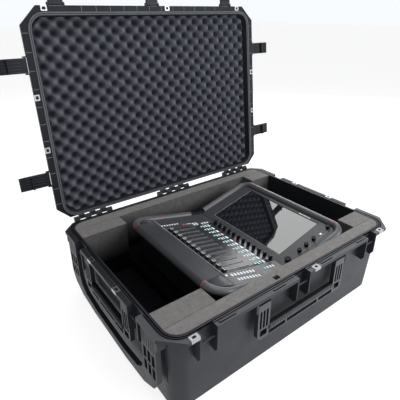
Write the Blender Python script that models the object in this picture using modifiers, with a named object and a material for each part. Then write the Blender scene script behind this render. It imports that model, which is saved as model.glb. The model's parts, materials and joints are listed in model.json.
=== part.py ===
"""Digital mixing console in a wheeled, latching hard transport case.

Frame: metres, +Z up, +X along the hinge line, +Y towards the hinge side, origin in the middle
of the case's underside. The case stands flat and the lid stands open on its stop.
"""
import math

import bmesh
import bpy
from mathutils import Matrix, Vector

# ---------------------------------------------------------------- driving dimensions
INSIDE_X = 0.438          # half the inside length at the rim
INSIDE_Y = 0.323          # half the inside width at the rim
WALL = 0.005              # shell wall
DRAFT = 0.010             # how far each wall leans in from the rim to the floor
RIM_Z = 0.255             # height of the base's rim
LID_DEPTH = 0.098         # closed lid, rim to top
FLANGE_X = 0.469          # half the length over the flange
FLANGE_FRONT = 0.352      # flange edge on the latch side, from the centre line
FLANGE_BACK = 0.335       # flange edge on the hinge side
FLANGE_THICK = 0.010
CORNER_R = 0.042          # inside corner radius of the shells
GAP = 0.0004              # clearance between pieces that touch
SEAL_X = INSIDE_X + WALL + 0.0035
SEAL_Y = INSIDE_Y + WALL + 0.0035

HINGE_Y = 0.3472
HINGE_Z = RIM_Z + 0.0045
LID_OPEN = math.radians(95.8)

FRONT_BAYS = (-0.352, -0.010, 0.331)   # latch centres along X on the front
SIDE_BAYS = (-0.183, 0.183)            # latch centres along Y on each end
FIN_OFFSET = 0.026                     # latch centre to fin centre
FIN_THICK = 0.0045
FIN_DROP = 0.088                       # rim to the bottom of a fin

LATCH_WIDTH = 0.045
LATCH_LENGTH = 0.092
LATCH_PIN_R = 0.0024
LATCH_PIVOT_OUT = 0.0045               # latch pivot outside the flange edge
LATCH_PIVOT_UP = 0.0105                # latch pivot above the closed rim plane

HANDLE_PIVOT_DROP = 0.031              # rim to a handle's pivot
HANDLE_PIVOT_OUT = 0.0105              # wall at the rim to a handle's pivot
HANDLE_THICK = 0.0135
HANDLE_PIN_R = 0.003
BRACKET_WIDTH = 0.008

WHEEL_R = 0.038
WHEEL_WIDTH = 0.026
WHEEL_X = 0.405
WHEEL_Y = 0.262
WHEEL_Z = 0.042
AXLE_R = 0.004

WELL_Y = 0.217                         # half width of the open wells beside the console
WELL_LEFT = -0.277
WELL_RIGHT = 0.333
RECESS_NEAR = -0.282                   # the console's recess, across the case
RECESS_FAR = 0.279
FLOOR_FOAM_TOP = 0.066

CONSOLE_Y = -0.0275                    # the console sits against the near rail of its recess
CONSOLE_HALF = 0.228                   # half width of the console's tray
CONSOLE_BOTTOM = 0.1105
KINK_X = 0.0405                        # where the two control surfaces meet
KINK_Z = RIM_Z - 0.0625
FRONT_SLOPE = math.radians(11.8)       # control surface falls towards the kink
REAR_SLOPE = math.radians(14.5)        # screen surface rises from it
PANEL_FRONT_X = -0.1785
CONSOLE_FRONT = -0.2505
CONSOLE_BACK = 0.2745
FRONT_CORNER_R = 0.0445
BACK_CORNER_R = 0.0265
PANEL_THICK = 0.003
TUBE_R = 0.0125
TUBE_OUT = 0.0135                      # tray wall to the guard tube's axis
CHANNELS = 12
CHANNEL_PITCH = 0.0257
FIRST_CHANNEL_Y = 0.098
FADER_TRAVEL = 0.100

# ---------------------------------------------------------------- scene and materials
for old in list(bpy.data.objects):
    bpy.data.objects.remove(old, do_unlink=True)

PARTS = bpy.data.collections.new("console_in_transport_case")
GUIDES = bpy.data.collections.new("cutters")
for group in (PARTS, GUIDES):
    bpy.context.scene.collection.children.link(group)


def material(name, colour, roughness, metallic=0.0):
    made = bpy.data.materials.new(name)
    made.use_nodes = True
    shader = made.node_tree.nodes["Principled BSDF"]
    shader.inputs["Base Color"].default_value = (*colour, 1.0)
    shader.inputs["Roughness"].default_value = roughness
    shader.inputs["Metallic"].default_value = metallic
    return made


CASE_PLASTIC = material("case_plastic", (0.028, 0.029, 0.031), 0.55)
LATCH_PLASTIC = material("latch_plastic", (0.022, 0.023, 0.026), 0.50)
RUBBER = material("rubber", (0.020, 0.020, 0.022), 0.60)
STEEL = material("steel", (0.62, 0.62, 0.63), 0.30, 1.0)
FOAM_GREY = material("foam_grey", (0.110, 0.103, 0.100), 0.95)
FOAM_CHARCOAL = material("foam_charcoal", (0.060, 0.062, 0.070), 0.95)
CONSOLE_METAL = material("console_metal", (0.030, 0.031, 0.034), 0.45)
TUBE_METAL = material("tube_metal", (0.035, 0.036, 0.039), 0.35)
KNOB_PLASTIC = material("knob_plastic", (0.012, 0.012, 0.013), 0.40)
SCREEN_GLASS = material("screen_glass", (0.010, 0.011, 0.013), 0.06)
PAD_VINYL = material("pad_vinyl", (0.024, 0.025, 0.027), 0.55)


# ---------------------------------------------------------------- modelling helpers
def keep(obj, finish, pivot=None):
    """Put a finished piece in the parts collection. One made closed on the lid turns with its pivot."""
    for group in list(obj.users_collection):
        group.objects.unlink(obj)
    PARTS.objects.link(obj)
    obj.data.materials.clear()
    obj.data.materials.append(finish)
    if pivot:
        obj.parent = pivot
        obj.matrix_parent_inverse = Matrix.Translation(-pivot.location)
    return obj


def guide(obj):
    """Mark a cutter, or a piece that is joined to another, as no part of its own."""
    for group in list(obj.users_collection):
        group.objects.unlink(obj)
    obj.hide_render = True
    obj.display_type = "WIRE"
    return obj


def from_bmesh(name, shape):
    bmesh.ops.recalc_face_normals(shape, faces=shape.faces)
    mesh = bpy.data.meshes.new(name)
    shape.to_mesh(mesh)
    shape.free()
    obj = bpy.data.objects.new(name, mesh)
    bpy.context.scene.collection.objects.link(obj)
    return obj


def box(name, low, high):
    low = Vector(low)
    high = Vector(high)
    shape = bmesh.new()
    bmesh.ops.create_cube(shape, size=1.0)
    bmesh.ops.scale(shape, vec=high - low, verts=shape.verts)
    bmesh.ops.translate(shape, vec=(low + high) / 2, verts=shape.verts)
    return from_bmesh(name, shape)


def cylinder(name, radius, start, end, sides=12):
    start = Vector(start)
    end = Vector(end)
    shape = bmesh.new()
    bmesh.ops.create_cone(shape, cap_ends=True, segments=sides, radius1=radius, radius2=radius,
                          depth=(end - start).length)
    turn = Vector((0, 0, 1)).rotation_difference(end - start).to_matrix().to_4x4()
    bmesh.ops.transform(shape, matrix=Matrix.Translation((start + end) / 2) @ turn, verts=shape.verts)
    return from_bmesh(name, shape)


def circle(centre, radius, sides=12):
    return [(centre[0] + radius * math.cos(2 * math.pi * i / sides),
             centre[1] + radius * math.sin(2 * math.pi * i / sides)) for i in range(sides)]


def rounded_rect(half_x, half_y, radius, steps=5, centre=(0.0, 0.0)):
    points = []
    for quarter, (sx, sy) in enumerate(((1, 1), (-1, 1), (-1, -1), (1, -1))):
        for i in range(steps + 1):
            turn = math.pi / 2 * (quarter + i / steps)
            points.append((centre[0] + sx * (half_x - radius) + radius * math.cos(turn),
                           centre[1] + sy * (half_y - radius) + radius * math.sin(turn)))
    return points


def rect(low_x, low_y, high_x, high_y):
    return [(low_x, low_y), (high_x, low_y), (high_x, high_y), (low_x, high_y)]


def plate(name, outlines, thickness, to_world=None):
    """A flat piece: the first outline is its edge, the others are holes. Its middle is at z = 0."""
    curve = bpy.data.curves.new(name, "CURVE")
    curve.dimensions = "2D"
    curve.fill_mode = "BOTH"
    curve.extrude = thickness / 2
    for outline in outlines:
        line = curve.splines.new("POLY")
        line.points.add(len(outline) - 1)
        for point, (x, y) in zip(line.points, outline):
            point.co = (x, y, 0.0, 1.0)
        line.use_cyclic_u = True
    drawn = bpy.data.objects.new(name + "_outline", curve)
    bpy.context.scene.collection.objects.link(drawn)
    bpy.context.view_layer.update()
    mesh = bpy.data.meshes.new_from_object(drawn.evaluated_get(bpy.context.evaluated_depsgraph_get()))
    bpy.data.objects.remove(drawn, do_unlink=True)
    shape = bmesh.new()
    shape.from_mesh(mesh)
    bpy.data.meshes.remove(mesh)
    bmesh.ops.remove_doubles(shape, verts=shape.verts, dist=0.00002)
    if to_world:
        bmesh.ops.transform(shape, matrix=to_world, verts=shape.verts)
    return from_bmesh(name, shape)


def block(name, outline, low_z, high_z):
    """An outline in plan, standing from low_z to high_z."""
    return plate(name, [outline], high_z - low_z, Matrix.Translation((0, 0, (low_z + high_z) / 2)))


def upright(x_axis, y_axis, origin=(0, 0, 0)):
    """The matrix that lays an outline's x and y along two world directions."""
    x_axis = Vector(x_axis).normalized()
    y_axis = Vector(y_axis).normalized()
    turn = Matrix((x_axis, y_axis, x_axis.cross(y_axis))).transposed().to_4x4()
    return Matrix.Translation(origin) @ turn


def lean_in(obj, low_z, high_z, amount):
    """Move the walls in by amount at low_z and by nothing at high_z, in plan."""
    for vertex in obj.data.vertices:
        share = (high_z - vertex.co.z) / (high_z - low_z) * amount
        vertex.co.x -= share * math.copysign(1, vertex.co.x)
        vertex.co.y -= share * math.copysign(1, vertex.co.y)
    return obj


def soften_ring(obj, z, width, segments):
    """Round the edges that lie in the plane at height z."""
    shape = bmesh.new()
    shape.from_mesh(obj.data)
    flat = [e for e in shape.edges if all(abs(v.co.z - z) < 1e-5 for v in e.verts)
            and len(e.link_faces) == 2 and abs(e.calc_face_angle(0)) > 0.5]
    bmesh.ops.bevel(shape, geom=flat, offset=width, segments=segments, profile=0.5,
                    affect="EDGES", clamp_overlap=True)
    shape.to_mesh(obj.data)
    shape.free()
    return obj


def boolean(obj, operation, others):
    """Join obj with, or cut it by, every object in others, and settle the result."""
    bag = bpy.data.collections.new(f"{obj.name}_{operation.lower()}")
    GUIDES.children.link(bag)
    for other in others:
        bag.objects.link(guide(other))
    step = obj.modifiers.new(operation.lower(), "BOOLEAN")
    step.operation = operation
    step.operand_type = "COLLECTION"
    step.collection = bag
    step.solver = "EXACT"
    bpy.context.view_layer.update()
    settled = bpy.data.meshes.new_from_object(obj.evaluated_get(bpy.context.evaluated_depsgraph_get()))
    obj.modifiers.clear()
    obj.data = settled
    for other in list(bag.objects):
        bpy.data.objects.remove(other, do_unlink=True)
    bpy.data.collections.remove(bag)
    return obj


def turned(name, profile, steps):
    """A profile of (radius, height) points, down its outer side, turned about Z."""
    mesh = bpy.data.meshes.new(name)
    closed = profile[0] == profile[-1]
    points = profile[:-1] if closed else profile
    edges = [(i, (i + 1) % len(points)) for i in range(len(profile) - 1)]
    mesh.from_pydata([(r, 0.0, z) for r, z in points], edges, [])
    obj = bpy.data.objects.new(name, mesh)
    bpy.context.scene.collection.objects.link(obj)
    turn = obj.modifiers.new("turn", "SCREW")
    turn.steps = steps
    turn.render_steps = steps
    turn.use_merge_vertices = True
    turn.merge_threshold = 0.00001
    turn.use_smooth_shade = False
    return obj


def repeat(mesh, name, finish, place):
    """One more piece with the same mesh, put in place by a matrix."""
    obj = bpy.data.objects.new(name, mesh)
    bpy.context.scene.collection.objects.link(obj)
    obj.matrix_world = place
    return keep(obj, finish)


# ---------------------------------------------------------------- latch bays and handles
def flange_outline():
    """The flange in plan: cut corners, wide on three sides, narrow on the hinge side."""
    cut = 0.054
    cut_back = 0.040
    right = [(FLANGE_X - cut, -FLANGE_FRONT), (FLANGE_X, -FLANGE_FRONT + cut), (FLANGE_X, FLANGE_BACK - cut_back),
             (FLANGE_X - cut_back, FLANGE_BACK)]
    return right + [(-x, y) for x, y in reversed(right)]


def bays():
    """Each latch bay: its name, its centre on the flange edge, and the ways out and along the edge."""
    for name, x in zip(("front_left", "front_middle", "front_right"), FRONT_BAYS):
        yield name, Vector((x, -FLANGE_FRONT, 0)), Vector((0, -1, 0)), Vector((1, 0, 0))
    for end, sign in (("left", -1), ("right", 1)):
        for name, y in zip(("near", "far"), SIDE_BAYS):
            yield f"{end}_{name}", Vector((sign * FLANGE_X, y, 0)), Vector((sign, 0, 0)), Vector((0, 1, 0))


def span_box(name, a, b):
    """A box between two opposite corners given in any order."""
    return box(name, [min(p, q) for p, q in zip(a, b)], [max(p, q) for p, q in zip(a, b)])


def fins():
    """Two thin ribs beside each latch, from the wall to the flange edge, cut back at the foot."""
    for name, edge, out, along in bays():
        wall_out = INSIDE_Y if out.y else INSIDE_X
        reach = edge.dot(out) - wall_out + 0.001
        outline = [(-0.0003, -0.005), (-0.0003, -FIN_DROP + 0.014), (-0.010, -FIN_DROP),
                   (-reach, -FIN_DROP + 0.004), (-reach, -0.005)]
        for side in (-1, 1):
            place = edge + along * side * FIN_OFFSET + Vector((0, 0, RIM_Z))
            yield plate(f"fin_{name}_{side}", [outline], FIN_THICK, upright(out, (0, 0, 1), place))


def catch_bars():
    """The bar between each pair of fins that the latch's hook pulls on."""
    for name, edge, out, along in bays():
        centre = edge - out * 0.0095 + Vector((0, 0, RIM_Z - 0.035))
        reach = along * (FIN_OFFSET + 0.001)
        yield cylinder(f"catch_bar_{name}", 0.003, centre - reach, centre + reach, 8)


def latch_notches(low_z, high_z, depth, half_width):
    """The cuts in a flange's edge where the latches pass."""
    for name, edge, out, along in bays():
        yield span_box(f"notch_{name}", edge + out * 0.01 - along * half_width + Vector((0, 0, low_z)),
                       edge - out * depth + along * half_width + Vector((0, 0, high_z)))


FRONT_WALL = INSIDE_Y + WALL
END_WALL = INSIDE_X + WALL
PIVOT_Z = RIM_Z - HANDLE_PIVOT_DROP
# name, half width, way out of the wall, pivot's distance from the centre, own brackets
HANDLES = (("front_handle", 0.187, Vector((0, -1, 0)), FRONT_WALL + HANDLE_PIVOT_OUT, True),
           ("left_handle", 0.1525, Vector((-1, 0, 0)), END_WALL + HANDLE_PIVOT_OUT, False),
           ("right_handle", 0.1525, Vector((1, 0, 0)), END_WALL + HANDLE_PIVOT_OUT, False),
           ("pull_handle", 0.289, Vector((-1, 0, 0)), END_WALL + HANDLE_PIVOT_OUT, True))


def handle_frame(out, distance):
    """A handle's own frame: x along the wall, y up, z out of the wall, with its pivot at the origin."""
    return upright(Vector((0, 0, 1)).cross(out), (0, 0, 1), out * distance + Vector((0, 0, PIVOT_Z)))


def pin_reach(own_brackets):
    return 0.0068 if own_brackets else 0.0040


def pivot_brackets():
    """Small cheeks on the wall that hold the pins of the front handle and the pull handle."""
    for name, half, out, distance, own_brackets in HANDLES:
        if own_brackets:
            depth = 0.024
            outline = rect(half + 0.0014, -0.012, half + 0.0014 + BRACKET_WIDTH, 0.023)
            for side in (-1, 1):
                ear = [(side * x, y) for x, y in outline]
                lay = handle_frame(out, distance) @ Matrix.Translation((0, 0, 0.0115 - depth / 2))
                yield plate(f"bracket_{name}_{side}", [ear], depth, lay)


def handle_bores():
    """The holes that the handles' pins turn in: through brackets or through fins."""
    for name, half, out, distance, own_brackets in HANDLES:
        lay = handle_frame(out, distance)
        for side in (-1, 1):
            yield cylinder(f"bore_{name}_{side}", HANDLE_PIN_R + GAP, lay @ Vector((side * (half + 0.0006), 0, 0)),
                           lay @ Vector((side * (half + pin_reach(own_brackets) + 0.001), 0, 0)))


def window_row(low_x, high_x, low_y, high_y, count, bar):
    """A row of windows between low_x and high_x with bars between them."""
    width = (high_x - low_x - bar * (count - 1)) / count
    return [rect(low_x + i * (width + bar), low_y, low_x + i * (width + bar) + width, high_y)
            for i in range(count)]


def mirrored(outlines):
    return outlines + [[(-x, y) for x, y in outline] for outline in outlines]


def carry_handle(name, half, out, distance):
    """A bail with slotted arms, a slotted strip along its foot and a soft grip bar above it."""
    top = 0.0085
    drop = 0.112
    arm = 0.045
    strip = 0.020
    corner = 0.012
    side = [(half, top), (half, -drop + corner), (half - corner, -drop)]
    inner = [(half - arm, -drop + strip), (half - arm, top)]
    edge = side + [(-x, y) for x, y in reversed(side)] + [(-x, y) for x, y in reversed(inner)] + inner
    strip_low = -drop + 0.0040
    strip_high = -drop + 0.0160
    bar_near = (half - arm) / 2 - 0.0035
    bar_far = (half - arm) / 2 + 0.0035
    middle_window = rect(-bar_near, strip_low, bar_near, strip_high)
    end_windows = mirrored([rect(bar_far, strip_low, half - arm, strip_high)])
    arm_slots = window_row(half - arm + 0.007, half - 0.007, -0.074, -0.014, 3, 0.0045)
    arm_window = rect(half - arm + 0.009, -0.101, half - 0.010, -0.081)
    frame = plate(name, [edge, middle_window] + end_windows + mirrored(arm_slots + [arm_window]), HANDLE_THICK,
                  Matrix.Translation((0, 0, 0.00375)))
    grip_outline = [(0.0, -0.006), (0.007, -0.006), (0.0125, -0.001), (0.0125, 0.006), (0.008, 0.0115),
                    (0.001, 0.0125), (-0.006, 0.010), (-0.0075, 0.004), (-0.0075, -0.002), (-0.004, -0.006)]
    grip_at = upright((0, 0, 1), (0, 1, 0), (0, -drop + strip + 0.005, 0.002))
    grip = plate(name + "_grip", [grip_outline], 2 * (half - arm) + 0.002, grip_at)
    return finish_handle(frame, [grip], half, out, distance, name == "front_handle")


def pull_handle(name, half, out, distance):
    """The wide towing bail round the carry handle: deep slotted arms and a bowed bar at the foot."""
    outer = [(half, 0.0085), (half, -0.126), (half - 0.020, -0.160), (half - 0.075, -0.186), (0.110, -0.196)]
    inner = [(0.090, -0.171), (half - 0.110, -0.160), (half - 0.082, -0.140), (half - 0.070, -0.110),
             (half - 0.070, 0.0085)]
    edge = outer + [(-x, y) for x, y in reversed(outer)] + [(-x, y) for x, y in reversed(inner)] + inner
    slots = window_row(half - 0.062, half - 0.008, -0.080, -0.044, 3, 0.007)
    slots += window_row(half - 0.062, half - 0.008, -0.122, -0.088, 3, 0.007)
    frame = plate(name, [edge] + mirrored(slots), 0.014, Matrix.Translation((0, 0, 0.0040)))
    return finish_handle(frame, [], half, out, distance, True)


def finish_handle(frame, extras, half, out, distance, own_brackets):
    """Join a handle's pieces and its two stub pins, and stand it on its pivot."""
    reach = pin_reach(own_brackets)
    pins = [cylinder(f"pin_{side}", HANDLE_PIN_R, (side * (half - 0.004), 0, 0), (side * (half + reach), 0, 0))
            for side in (-1, 1)]
    boolean(frame, "UNION", extras + pins)
    frame.matrix_world = handle_frame(out, distance)
    return keep(frame, CASE_PLASTIC)


def handles():
    for name, half, out, distance, own_brackets in HANDLES:
        if name == "pull_handle":
            pull_handle(name, half, out, distance)
        else:
            carry_handle(name, half, out, distance)


# ---------------------------------------------------------------- hinge
KNUCKLE_R = 0.0065
KNUCKLES = 7
HINGE_GROUPS = {"left": (-0.418, -0.273), "middle": (-0.074, 0.080), "right": (0.270, 0.415)}
HINGE_PIN_R = 0.0022
BASE_KNUCKLES, LID_KNUCKLES = 0, 1


def knuckles(shell, web):
    """One shell's barrels on the hinge line, closed, each with a web to its wall."""
    for group, (low, high) in HINGE_GROUPS.items():
        pitch = (high - low) / KNUCKLES
        for i in range(shell, KNUCKLES, 2):
            width = pitch - 0.0012
            lay = upright((0, 1, 0), (0, 0, 1), (low + (i + 0.5) * pitch, 0, 0))
            yield plate(f"barrel_{group}_{i}", [circle((HINGE_Y, HINGE_Z), KNUCKLE_R)], width, lay)
            yield plate(f"web_{group}_{i}", [web], width - 0.0004, lay)


def hinge_bores():
    for group, (low, high) in HINGE_GROUPS.items():
        yield cylinder(f"hinge_bore_{group}", HINGE_PIN_R + GAP, (low - 0.002, HINGE_Y, HINGE_Z),
                       (high + 0.002, HINGE_Y, HINGE_Z))


def hinge_pins():
    for group, (low, high) in HINGE_GROUPS.items():
        keep(cylinder(f"hinge_pin_{group}", HINGE_PIN_R, (low, HINGE_Y, HINGE_Z), (high, HINGE_Y, HINGE_Z)), STEEL)


# ---------------------------------------------------------------- base
def wheel_places():
    return (("near", -WHEEL_Y), ("far", WHEEL_Y))


def wheel_housings(grow=0.0):
    """The lumps inside the shell that close off the wheel wells."""
    half = WHEEL_WIDTH / 2 + 0.011 + grow
    for name, y in wheel_places():
        yield box(f"housing_{name}", (WHEEL_X - 0.054 - grow, y - half, 0.0007),
                  (WHEEL_X + 0.031 + grow * 10, y + half, WHEEL_Z + WHEEL_R + 0.014 + grow))


def wheel_wells():
    half = WHEEL_WIDTH / 2 + 0.003
    for name, y in wheel_places():
        yield box(f"wheel_well_{name}", (WHEEL_X - 0.047, y - half, -0.01),
                  (WHEEL_X + 0.060, y + half, WHEEL_Z + WHEEL_R + 0.007))
        yield cylinder(f"axle_bore_{name}", AXLE_R + GAP, (WHEEL_X, y - half - 0.006, WHEEL_Z),
                       (WHEEL_X, y + half + 0.006, WHEEL_Z))


def base_shell():
    outer = block("base_shell", rounded_rect(END_WALL, FRONT_WALL, CORNER_R + WALL), 0.0, RIM_Z)
    lean_in(outer, 0.0, RIM_Z, DRAFT)
    soften_ring(outer, 0.0, 0.018, 3)
    flange = block("base_flange", flange_outline(), RIM_Z - 0.0015 - FLANGE_THICK, RIM_Z - 0.0015)
    web = [(INSIDE_Y + 0.002, HINGE_Z - 0.030), (INSIDE_Y + 0.010, HINGE_Z - 0.030),
           (HINGE_Y + 0.004, HINGE_Z - 0.012), (HINGE_Y + 0.004, HINGE_Z), (HINGE_Y - 0.004, HINGE_Z),
           (INSIDE_Y + 0.002, HINGE_Z - 0.011)]
    boolean(outer, "UNION", [flange, *fins(), *catch_bars(), *knuckles(BASE_KNUCKLES, web), *pivot_brackets()])
    cavity = block("cavity", rounded_rect(INSIDE_X, INSIDE_Y, CORNER_R), WALL + 0.001, RIM_Z + 0.02)
    lean_in(cavity, WALL, RIM_Z, DRAFT)
    notch_half = FIN_OFFSET - FIN_THICK / 2 - 0.0003
    boolean(outer, "DIFFERENCE", [cavity, *latch_notches(RIM_Z - 0.02, RIM_Z + 0.01, 0.0215, notch_half)])
    boolean(outer, "UNION", list(wheel_housings()))
    boolean(outer, "DIFFERENCE", [*wheel_wells(), *hinge_bores(), *handle_bores()])
    keep(outer, CASE_PLASTIC)


def wheels():
    half = WHEEL_WIDTH / 2
    bore = AXLE_R + GAP
    profile = [(bore, half - 0.003), (0.012, half - 0.003), (0.014, half - 0.005), (0.026, half - 0.005),
               (0.029, half - 0.001), (WHEEL_R - 0.004, half), (WHEEL_R, half - 0.005)]
    profile += [(r, -z) for r, z in reversed(profile)] + [profile[0]]
    wheel = turned("wheel", profile, 16)
    bpy.context.view_layer.update()
    mesh = bpy.data.meshes.new_from_object(wheel.evaluated_get(bpy.context.evaluated_depsgraph_get()))
    bpy.data.objects.remove(wheel, do_unlink=True)
    for name, y in wheel_places():
        centre = (WHEEL_X, y, WHEEL_Z)
        repeat(mesh, f"wheel_{name}", RUBBER, Matrix.Translation(centre) @ Matrix.Rotation(math.pi / 2, 4, "X"))
        reach = half + 0.003 + 0.0055
        keep(cylinder(f"wheel_axle_{name}", AXLE_R, (WHEEL_X, y - reach, WHEEL_Z), (WHEEL_X, y + reach, WHEEL_Z)),
             STEEL)


# ---------------------------------------------------------------- lid, made closed and turned open
def latch_lugs():
    """Two ears for each latch on the lid's flange, with a bore for the latch's pin."""
    half = LATCH_WIDTH / 2 + 0.0008
    ear = [(-0.024, -0.0045), (0.0035, -0.0045), (0.006, -0.002), (0.006, 0.002), (0.0035, 0.0055),
           (-0.024, 0.0055)]
    for name, edge, out, along in bays():
        pivot = edge + out * LATCH_PIVOT_OUT + Vector((0, 0, RIM_Z + LATCH_PIVOT_UP))
        for side in (-1, 1):
            place = pivot + along * side * (half + 0.002)
            yield plate(f"lug_{name}_{side}", [ear, circle((0, 0), LATCH_PIN_R + GAP, 10)], 0.004,
                        upright(out, (0, 0, 1), place))


def seal_ring(name, half_width, low_z, high_z):
    outer = rounded_rect(SEAL_X + half_width, SEAL_Y + half_width, CORNER_R + 0.0085 + half_width)
    inner = rounded_rect(SEAL_X - half_width, SEAL_Y - half_width, CORNER_R + 0.0085 - half_width)
    return plate(name, [outer, inner], high_z - low_z, Matrix.Translation((0, 0, (low_z + high_z) / 2)))


def lid_shell(pivot):
    low = RIM_Z + 0.0008
    top = RIM_Z + LID_DEPTH
    outer = block("lid_shell", rounded_rect(END_WALL, FRONT_WALL, CORNER_R + WALL), low, top)
    lean_in(outer, top, low, DRAFT)
    soften_ring(outer, top, 0.016, 3)
    flange = block("lid_flange", flange_outline(), RIM_Z + 0.0012, RIM_Z + 0.0012 + FLANGE_THICK)
    web = [(INSIDE_Y + 0.002, HINGE_Z + 0.026), (INSIDE_Y + 0.010, HINGE_Z + 0.026),
           (HINGE_Y + 0.004, HINGE_Z + 0.012), (HINGE_Y + 0.004, HINGE_Z), (HINGE_Y - 0.004, HINGE_Z),
           (INSIDE_Y + 0.002, HINGE_Z + 0.008)]
    cavity = block("lid_cavity", rounded_rect(INSIDE_X, INSIDE_Y, CORNER_R), RIM_Z - 0.02, top - WALL)
    lean_in(cavity, top, low, DRAFT)
    groove = seal_ring("seal_groove", 0.0025, RIM_Z - 0.01, RIM_Z + 0.0048)
    notches = latch_notches(RIM_Z - 0.01, RIM_Z + 0.03, 0.0012, LATCH_WIDTH / 2 + 0.0005)
    boolean(outer, "UNION", [flange, *knuckles(LID_KNUCKLES, web)])
    boolean(outer, "DIFFERENCE", [cavity, *notches])
    boolean(outer, "UNION", list(latch_lugs()))
    boolean(outer, "DIFFERENCE", [groove, *hinge_bores()])
    keep(outer, CASE_PLASTIC, pivot)


def latches(pivot):
    """Each latch lies open in the lid's plane: a ribbed lever with a hook lip near its middle."""
    half = LATCH_WIDTH / 2
    barrel = [(0.0045 * math.cos(a), 0.0045 * math.sin(a)) for a in (math.radians(90 + 36 * i) for i in range(6))]
    lever = [(0.050, -0.0043), (0.0495, -0.0125), (0.0555, -0.0125), (0.0555, -0.0041), (0.078, -0.0036),
             (LATCH_LENGTH, -0.0015), (LATCH_LENGTH, 0.0020), (0.074, 0.0055)]
    lever_profile = barrel + lever
    for name, edge, out, along in bays():
        axis = edge + out * LATCH_PIVOT_OUT + Vector((0, 0, RIM_Z + LATCH_PIVOT_UP))
        lay = upright(out, (0, 0, 1))
        body = plate(f"latch_{name}", [lever_profile], LATCH_WIDTH, lay)
        pin = cylinder("latch_pin", LATCH_PIN_R, along * -(half + 0.0045), along * (half + 0.0045), 10)
        boolean(body, "UNION", [pin])
        body.location = axis
        keep(body, LATCH_PLASTIC, pivot)


def lid():
    pivot = bpy.data.objects.new("lid_pivot", None)
    pivot.location = (0, HINGE_Y, HINGE_Z)
    PARTS.objects.link(pivot)
    lid_shell(pivot)
    keep(seal_ring("lid_seal", 0.0020, RIM_Z - 0.0010, RIM_Z + 0.0044), RUBBER, pivot)
    foam_low = RIM_Z + 0.016
    foam_top = RIM_Z + LID_DEPTH - WALL - 0.0005
    foam = block("lid_foam", rounded_rect(INSIDE_X - 0.0025, INSIDE_Y - 0.0025, CORNER_R - 0.002), foam_low, foam_top)
    keep(lean_in(foam, foam_top, foam_low, DRAFT - 0.0012), FOAM_CHARCOAL, pivot)
    latches(pivot)
    pivot.rotation_euler = (-LID_OPEN, 0, 0)


# ---------------------------------------------------------------- foam insert
def foams():
    floor = block("floor_foam", rounded_rect(INSIDE_X - 0.0085, INSIDE_Y - 0.0085, CORNER_R - 0.002), WALL + 0.0015,
                  FLOOR_FOAM_TOP - GAP)
    lean_in(floor, WALL, FLOOR_FOAM_TOP, 0.0024)
    boolean(floor, "DIFFERENCE", list(wheel_housings(0.001)))
    keep(floor, FOAM_GREY)
    top = RIM_Z - 0.0015
    insert = block("base_foam", rounded_rect(INSIDE_X - 0.0012, INSIDE_Y - 0.0012, CORNER_R - 0.002), FLOOR_FOAM_TOP,
                   top)
    lean_in(insert, FLOOR_FOAM_TOP, top, 0.0072)
    cradle_left = -0.200
    cradle_right = 0.250
    cuts = [box("left_well", (-0.5, -WELL_Y, 0.02), (WELL_LEFT + 0.0005, WELL_Y, 0.4)),
            box("right_well", (WELL_RIGHT - 0.0005, -WELL_Y, 0.02), (0.5, WELL_Y, 0.4)),
            box("recess", (WELL_LEFT, RECESS_NEAR, CONSOLE_BOTTOM - GAP), (WELL_RIGHT, RECESS_FAR, 0.4)),
            box("under_console", (cradle_left, RECESS_NEAR, 0.02), (cradle_right, RECESS_FAR, 0.3))]
    boolean(insert, "DIFFERENCE", cuts + list(wheel_housings(0.001)))
    keep(insert, FOAM_GREY)


# ---------------------------------------------------------------- console
def front_surface():
    """The control surface's frame: x down the slope towards the kink, y along the console, z out of it."""
    slope = Vector((math.cos(FRONT_SLOPE), 0, -math.sin(FRONT_SLOPE)))
    return upright(slope, (0, 1, 0), (KINK_X, 0, KINK_Z))


def rear_surface():
    """The screen surface's frame: x up the slope away from the kink."""
    slope = Vector((math.cos(REAR_SLOPE), 0, math.sin(REAR_SLOPE)))
    return upright(slope, (0, 1, 0), (KINK_X, 0, KINK_Z))


def along_front(x):
    return (x - KINK_X) / math.cos(FRONT_SLOPE)


def along_rear(x):
    return (x - KINK_X) / math.cos(REAR_SLOPE)


def console_plan(inset=0.0, steps=5):
    """The console in plan: wide round corners at the armrest, smaller ones behind the screen."""
    points = []
    corners = ((CONSOLE_BACK, 1, 1, BACK_CORNER_R), (CONSOLE_FRONT, -1, 1, FRONT_CORNER_R),
               (CONSOLE_FRONT, -1, -1, FRONT_CORNER_R), (CONSOLE_BACK, 1, -1, BACK_CORNER_R))
    for quarter, (edge_x, sx, sy, radius) in enumerate(corners):
        centre = (edge_x - sx * radius, CONSOLE_Y + sy * (CONSOLE_HALF - radius))
        for i in range(steps + 1):
            turn = math.pi / 2 * (quarter + i / steps)
            points.append((centre[0] + (radius - inset) * math.cos(turn),
                           centre[1] + (radius - inset) * math.sin(turn)))
    return points


def side_prism(name, outline):
    """An outline in side view (x, z), across the whole console."""
    return plate(name, [outline], 0.6, upright((1, 0, 0), (0, 0, 1)))


def surface_z(x):
    slope = -math.tan(FRONT_SLOPE) if x < KINK_X else math.tan(REAR_SLOPE)
    return KINK_Z + slope * (x - KINK_X)


ARMREST_TOP = RIM_Z + 0.0045
ARMREST_LOW = RIM_Z - 0.030
CHEEK_LOW_X = -0.004                   # the blocks that the guard tube's ends butt against
CHEEK_HIGH_X = 0.056


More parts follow.
